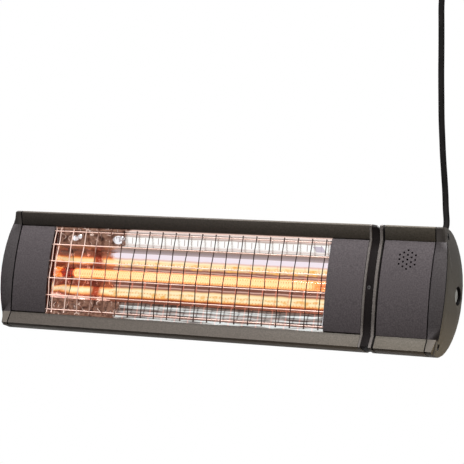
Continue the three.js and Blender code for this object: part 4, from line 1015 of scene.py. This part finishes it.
def made_by(piece, tree, sizes, values):
    """The piece as a node tree makes it with some values, turned into plain mesh."""
    modifier = piece.modifiers.new(tree.name, "NODES")
    modifier.node_group = tree
    for label, value in values.items():
        modifier[sizes[label]] = value
    return applied(piece)


def coil_tree(material):
    """Geometry nodes for a wound wire: a helix along x, given its wire's thickness."""
    numbers = [("Turns", 100.0), ("Radius", 0.004), ("Length", 0.3), ("Wire radius", 0.0008)]
    numbers = [(label, "Float", default) for label, default in numbers]
    tree, given, sizes = shape_tree("wound wire", numbers)
    inputs = {"Resolution": 14, "Rotations": given["Turns"], "Height": given["Length"]}
    inputs |= {"Start Radius": given["Radius"], "End Radius": given["Radius"]}
    helix = add(tree, "GeometryNodeCurveSpiral", inputs).outputs[0]
    turn = {"Geometry": helix, "Rotation": (0, math.pi / 2, 0)}
    laid = add(tree, "GeometryNodeTransform", turn).outputs[0]
    give_out(tree, swept_wire(tree, laid, given["Wire radius"], 7), material)
    return tree, sizes


class HEATER_OT_lamp(bpy.types.Operator):
    """Makes the quartz tube, its wound filament, its ceramic bases and their holders"""

    bl_idname = "heater.lamp"
    bl_label = "Lamp"

    lead_radius = 0.0009

    def execute(self, context):
        settings = context.scene.heater_lamp
        length = (COIL_END - COIL_START) / 1000
        coil = new_object("lamp_coil", bpy.data.meshes.new("lamp_coil"))
        values = {"Turns": length / settings.coil_pitch, "Radius": settings.coil_radius}
        values |= {"Length": length, "Wire radius": settings.wire_radius}
        made_by(coil, *coil_tree(FINISHES["filament_wire"]), values)
        coil.data.transform(Matrix.Translation(place(COIL_START, LAMP_DEPTH, 0)))
        put_on(smooth(coil, 50), "filament_wire", ["lamp_filament"])
        low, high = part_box("lamp_filament")
        start, end = place(COIL_START, LAMP_DEPTH, 0), place(COIL_END, LAMP_DEPTH, 0)
        for side, left, right in (("left", low.x, start.x), ("right", end.x, high.x)):
            line = [Vector((left + (right - left) * k / 6, *start.yz)) for k in range(7)]
            lead = tube_along("lamp_coil_lead_" + side, line, self.lead_radius, 10)
            put_on(lead, "filament_wire")
        dressed("lamp_tube", "quartz", 0, smoothing=60)
        for side in ("left", "right"):
            dressed(f"lamp_{side}_base", "ceramic", 0.4, smoothing=40)
            dressed(f"lamp_{side}_holder", "holder_steel", 0.2)
            dressed(f"lamp_lead_{side}", "lead_sleeve", 0, smoothing=80)
        return {"FINISHED"}


def repeat_tree(material):
    """Geometry nodes that set copies of a wire side by side along x."""
    numbers = [("Count", "Int", 10), ("Pitch", "Float", 0.03), ("Wire radius", "Float", 0.0006)]
    tree, given, sizes = shape_tree("row of wires", numbers, takes_shape=True)
    step = add(tree, "ShaderNodeCombineXYZ", {"X": given["Pitch"]}).outputs[0]
    places = add(tree, "GeometryNodeMeshLine", {"Count": given["Count"], "Offset": step})
    bare = add(tree, "GeometryNodeMeshToCurve", {"Mesh": given["Geometry"]}).outputs[0]
    wire = swept_wire(tree, bare, given["Wire radius"], 10)
    inputs = {"Points": places.outputs[0], "Instance": wire}
    give_out(tree, add(tree, "GeometryNodeInstanceOnPoints", inputs).outputs[0], material)
    return tree, sizes


class HEATER_OT_guard(bpy.types.Operator):
    """Makes the welded guard: crimped uprights that bow with the face, and straight rows"""

    bl_idname = "heater.guard"
    bl_label = "Wire guard"

    # in mm: x from the window's left edge, depth behind the arched face, and height
    first_upright = 8.6
    edge_upright = 2.2
    right_margin = 2
    set_back = 3.1
    plate_back = 2
    gap = 0.3
    weld = 0.35  # how deep two wires are welded into each other
    crimp_rows = (-30.9, -10.3, 10.3, 30.9)
    edge_row = 47.8
    end = 51.5
    end_back = 0.9
    tuck = 2.6

    def upright(self, lean, cross, edge_back):
        """The centre line of one upright at x = 0, crimped round the rows."""
        half = [(self.edge_row, edge_back - cross), (self.end, self.end_back)]
        marks = [(-z, offset) for z, offset in reversed(half)]
        for i, z in enumerate(self.crimp_rows):
            marks.append((z, self.set_back + (cross if (i + lean) % 2 == 0 else -cross)))
        return catmull_rom([Vector((0, arch_depth(z, d), z)) for z, d in marks + half], 4)

    def joined(self, name, parts):
        """The parts as one piece."""
        mesh = bpy.data.meshes.new(name)
        with edited(mesh) as shape:
            for part in parts:
                shape.from_mesh(part.data)
                bpy.data.objects.remove(part)
            bmesh.ops.recalc_face_normals(shape, faces=shape.faces)
        return smooth(new_object(name, mesh), 60)

    def execute(self, context):
        settings = context.scene.heater_guard
        radius, pitch = settings.wire_radius * 1000, settings.pitch * 1000
        cross = 2 * radius - self.weld
        edge_back = self.plate_back + radius + self.gap
        first = WINDOW_LEFT + self.first_upright
        room = WINDOW_RIGHT - self.right_margin - WINDOW_LEFT - self.first_upright
        count = math.ceil(room / pitch)
        tree, sizes = repeat_tree(FINISHES["guard_wire"])
        sets = [(WINDOW_LEFT + self.edge_upright, 0, 1)]
        sets += [(first, 1, (count + 1) // 2), (first + pitch, 0, count // 2)]
        uprights = []
        for n, (x, lean, copies) in enumerate(sets):
            line = [place(x, p.y, p.z) for p in self.upright(lean, cross, edge_back)]
            mesh = bpy.data.meshes.new(f"uprights_{n}")
            mesh.from_pydata(line, [(i, i + 1) for i in range(len(line) - 1)], [])
            values = {"Count": copies, "Pitch": 2 * pitch / 1000}
            values["Wire radius"] = settings.wire_radius
            uprights.append(made_by(new_object(f"uprights_{n}", mesh), tree, sizes, values))
        left, right = WINDOW_LEFT - self.tuck, WINDOW_RIGHT + self.tuck
        step = settings.row_pitch * 1000
        rows = []
        for z in (-self.edge_row, -1.5 * step, -0.5 * step, 0.5 * step, 1.5 * step, self.edge_row):
            back = edge_back if abs(z) == self.edge_row else self.set_back
            line = [place(left + (right - left) * k / 40, arch_depth(z, back), z) for k in range(41)]
            rows.append(tube_along(f"row_{z:.0f}", line, settings.wire_radius, 10))
        piece = self.joined("guard_uprights", uprights)
        put_on(piece, "guard_wire", ["wire_guard"])
        put_on(self.joined("guard_rows", rows), "guard_row")
        return {"FINISHED"}


class HEATER_OT_module(bpy.types.Operator):
    """Makes what the control module holds, and its push button"""

    bl_idname = "heater.module"
    bl_label = "Module"

    def execute(self, context):
        for node in ("sounder", "control_board", "relay", "terminal_block", "switch_body"):
            dressed(node, SLOTS[node], 0.4)
        dressed("push_button", "button_metal", 0.5, 3)
        return {"FINISHED"}


class HEATER_OT_bracket(bpy.types.Operator):
    """Makes the heater's bracket and the wall plate"""

    bl_idname = "heater.bracket"
    bl_label = "Bracket"

    def execute(self, context):
        dress_all(("heater_bracket wall_plate", "bracket_coat", 0.5, 3))
        return {"FINISHED"}


class HEATER_OT_fasteners(bpy.types.Operator):
    """Makes the screws, bolts, nuts and washers"""

    bl_idname = "heater.fasteners"
    bl_label = "Fasteners"

    def execute(self, context):
        for node, slot in SLOTS.items():
            if slot == "screw_steel":
                finish = "black_steel" if "cap_screw" in node else slot
                dressed(node, "dull_steel" if node == "spacer_screw" else finish, 0.25)
        return {"FINISHED"}


def area_lamp(name, position, size, power, tint="#ffffff"):
    """A rectangular lamp that shines at the heater's middle."""
    light = bpy.data.lights.new(name, "AREA")
    set_all(light, shape="RECTANGLE", size=size[0], size_y=size[1])
    set_all(light, energy=power, color=colour(tint)[:3])
    turn = (HEATER_MIDDLE - Vector(position)).to_track_quat("-Z", "Y").to_euler()
    set_all(new_object(name, light), location=position, rotation_euler=turn)


def seen_rays(tree):
    """1 for what is seen, also in a mirror or through glass, and 0 for what only lights."""
    path = add(tree, "ShaderNodeLightPath").outputs
    seen = Value(path["Is Camera Ray"]) | path["Is Glossy Ray"]
    return seen | path["Is Transmission Ray"]


class HEATER_OT_stage(bpy.types.Operator):
    """Makes the camera, the lamps, the world and the floor"""

    bl_idname = "heater.stage"
    bl_label = "Stage"

    def camera(self, scene):
        """The camera that took the photo, from the fit to the heater's edges."""
        camera = set_all(bpy.data.cameras.new("camera"), lens=CAMERA_LENS, sensor_width=36)
        scene.camera = new_object("camera", camera)
        back, up = -CAMERA_AHEAD.normalized(), CAMERA_UP.normalized()
        right = up.cross(back).normalized()
        turn = Matrix((right, back.cross(right), back)).transposed().to_4x4()
        scene.camera.matrix_world = Matrix.Translation(CAMERA_PLACE) @ turn

    def world(self, scene, room):
        """White all round to the eye, and a weak even light on the heater."""
        world = scene.world = bpy.data.worlds.new("white studio")
        world.use_nodes = True
        tree = world.node_tree
        tree.nodes.clear()
        strength = {"Value": seen_rays(tree), "To Min": room, "To Max": 1.0}
        strength = add(tree, "ShaderNodeMapRange", strength).outputs[0]
        light = add(tree, "ShaderNodeBackground", {"Color": (1, 1, 1, 1), "Strength": strength})
        add(tree, "ShaderNodeOutputWorld", {"Surface": light.outputs[0]})

    def floor(self):
        """White paper, far below the heater: plain white to the eye, and it lights nothing."""
        corners = [(-1, -1), (1, -1), (1, 1), (-1, 1)]
        vertices = [(FLOOR_HALF * x, FLOOR_HALF * y, FLOOR_HEIGHT) for x, y in corners]
        floor = mesh_from("floor", vertices, [(0, 1, 2, 3)])
        values = {"Roughness": 0.9, "Specular_IOR_Level": 0.0, "Base_Color": "#1c1c1c"}
        material, shader, spot = new_material("white paper floor", **values)
        clouds = ramp(grain(spot, 90, 2.0), [(0.3, "#fefefe"), (0.7, "#ffffff")])
        feed(shader, "Emission Color", clouds)
        feed(shader, "Emission Strength", seen_rays(tree_of(spot)))
        floor.data.materials.append(material)

    def execute(self, context):
        scene = context.scene
        settings = scene.heater_stage
        self.camera(scene)
        area_lamp("key", (0.12, -0.8, 1.45), (1.4, 0.7), settings.key_power)
        area_lamp("side", (1.6, -0.35, -0.6), (0.7, 0.7), settings.fill_power, "#ffeacb")
        area_lamp("back", (-0.7, 1.5, 0.8), (1.2, 0.8), settings.back_power)
        self.world(scene, settings.room)
        self.floor()
        scene.view_settings.view_transform = "Standard"
        return {"FINISHED"}


class HEATER_PT_panel(bpy.types.Panel):
    """Lists what makes the heater"""

    bl_label = "Bar heater"
    bl_idname = "HEATER_PT_panel"
    bl_space_type = "VIEW_3D"
    bl_region_type = "UI"
    bl_category = "Bar heater"

    def draw(self, context):
        for name in GROUPS:
            group = getattr(context.scene, name)
            box = self.layout.box()
            for key in group.__annotations__:
                box.prop(group, key)
        for operator in STEPS:
            self.layout.operator(operator.bl_idname)


STEPS = [
    HEATER_OT_stage,
    HEATER_OT_mains_lead,
    HEATER_OT_casing,
    HEATER_OT_reflector,
    HEATER_OT_lamp,
    HEATER_OT_guard,
    HEATER_OT_module,
    HEATER_OT_bracket,
    HEATER_OT_fasteners,
]
GROUPS = {
    "heater_guard": GuardSettings,
    "heater_lamp": LampSettings,
    "heater_cord": CordSettings,
    "heater_stage": StageSettings,
}


CLASSES = [*GROUPS.values(), *STEPS, HEATER_PT_panel]


def register():
    for made in CLASSES:
        bpy.utils.register_class(made)
    for name, group in GROUPS.items():
        setattr(bpy.types.Scene, name, bpy.props.PointerProperty(type=group))


def unregister():
    for name in GROUPS:
        delattr(bpy.types.Scene, name)
    for made in reversed(CLASSES):
        bpy.utils.unregister_class(made)


def main():
    register()
    make_finishes()
    for operator in STEPS:
        group, name = operator.bl_idname.split(".")
        getattr(getattr(bpy.ops, group), name)()


if __name__ == "__main__":
    main()
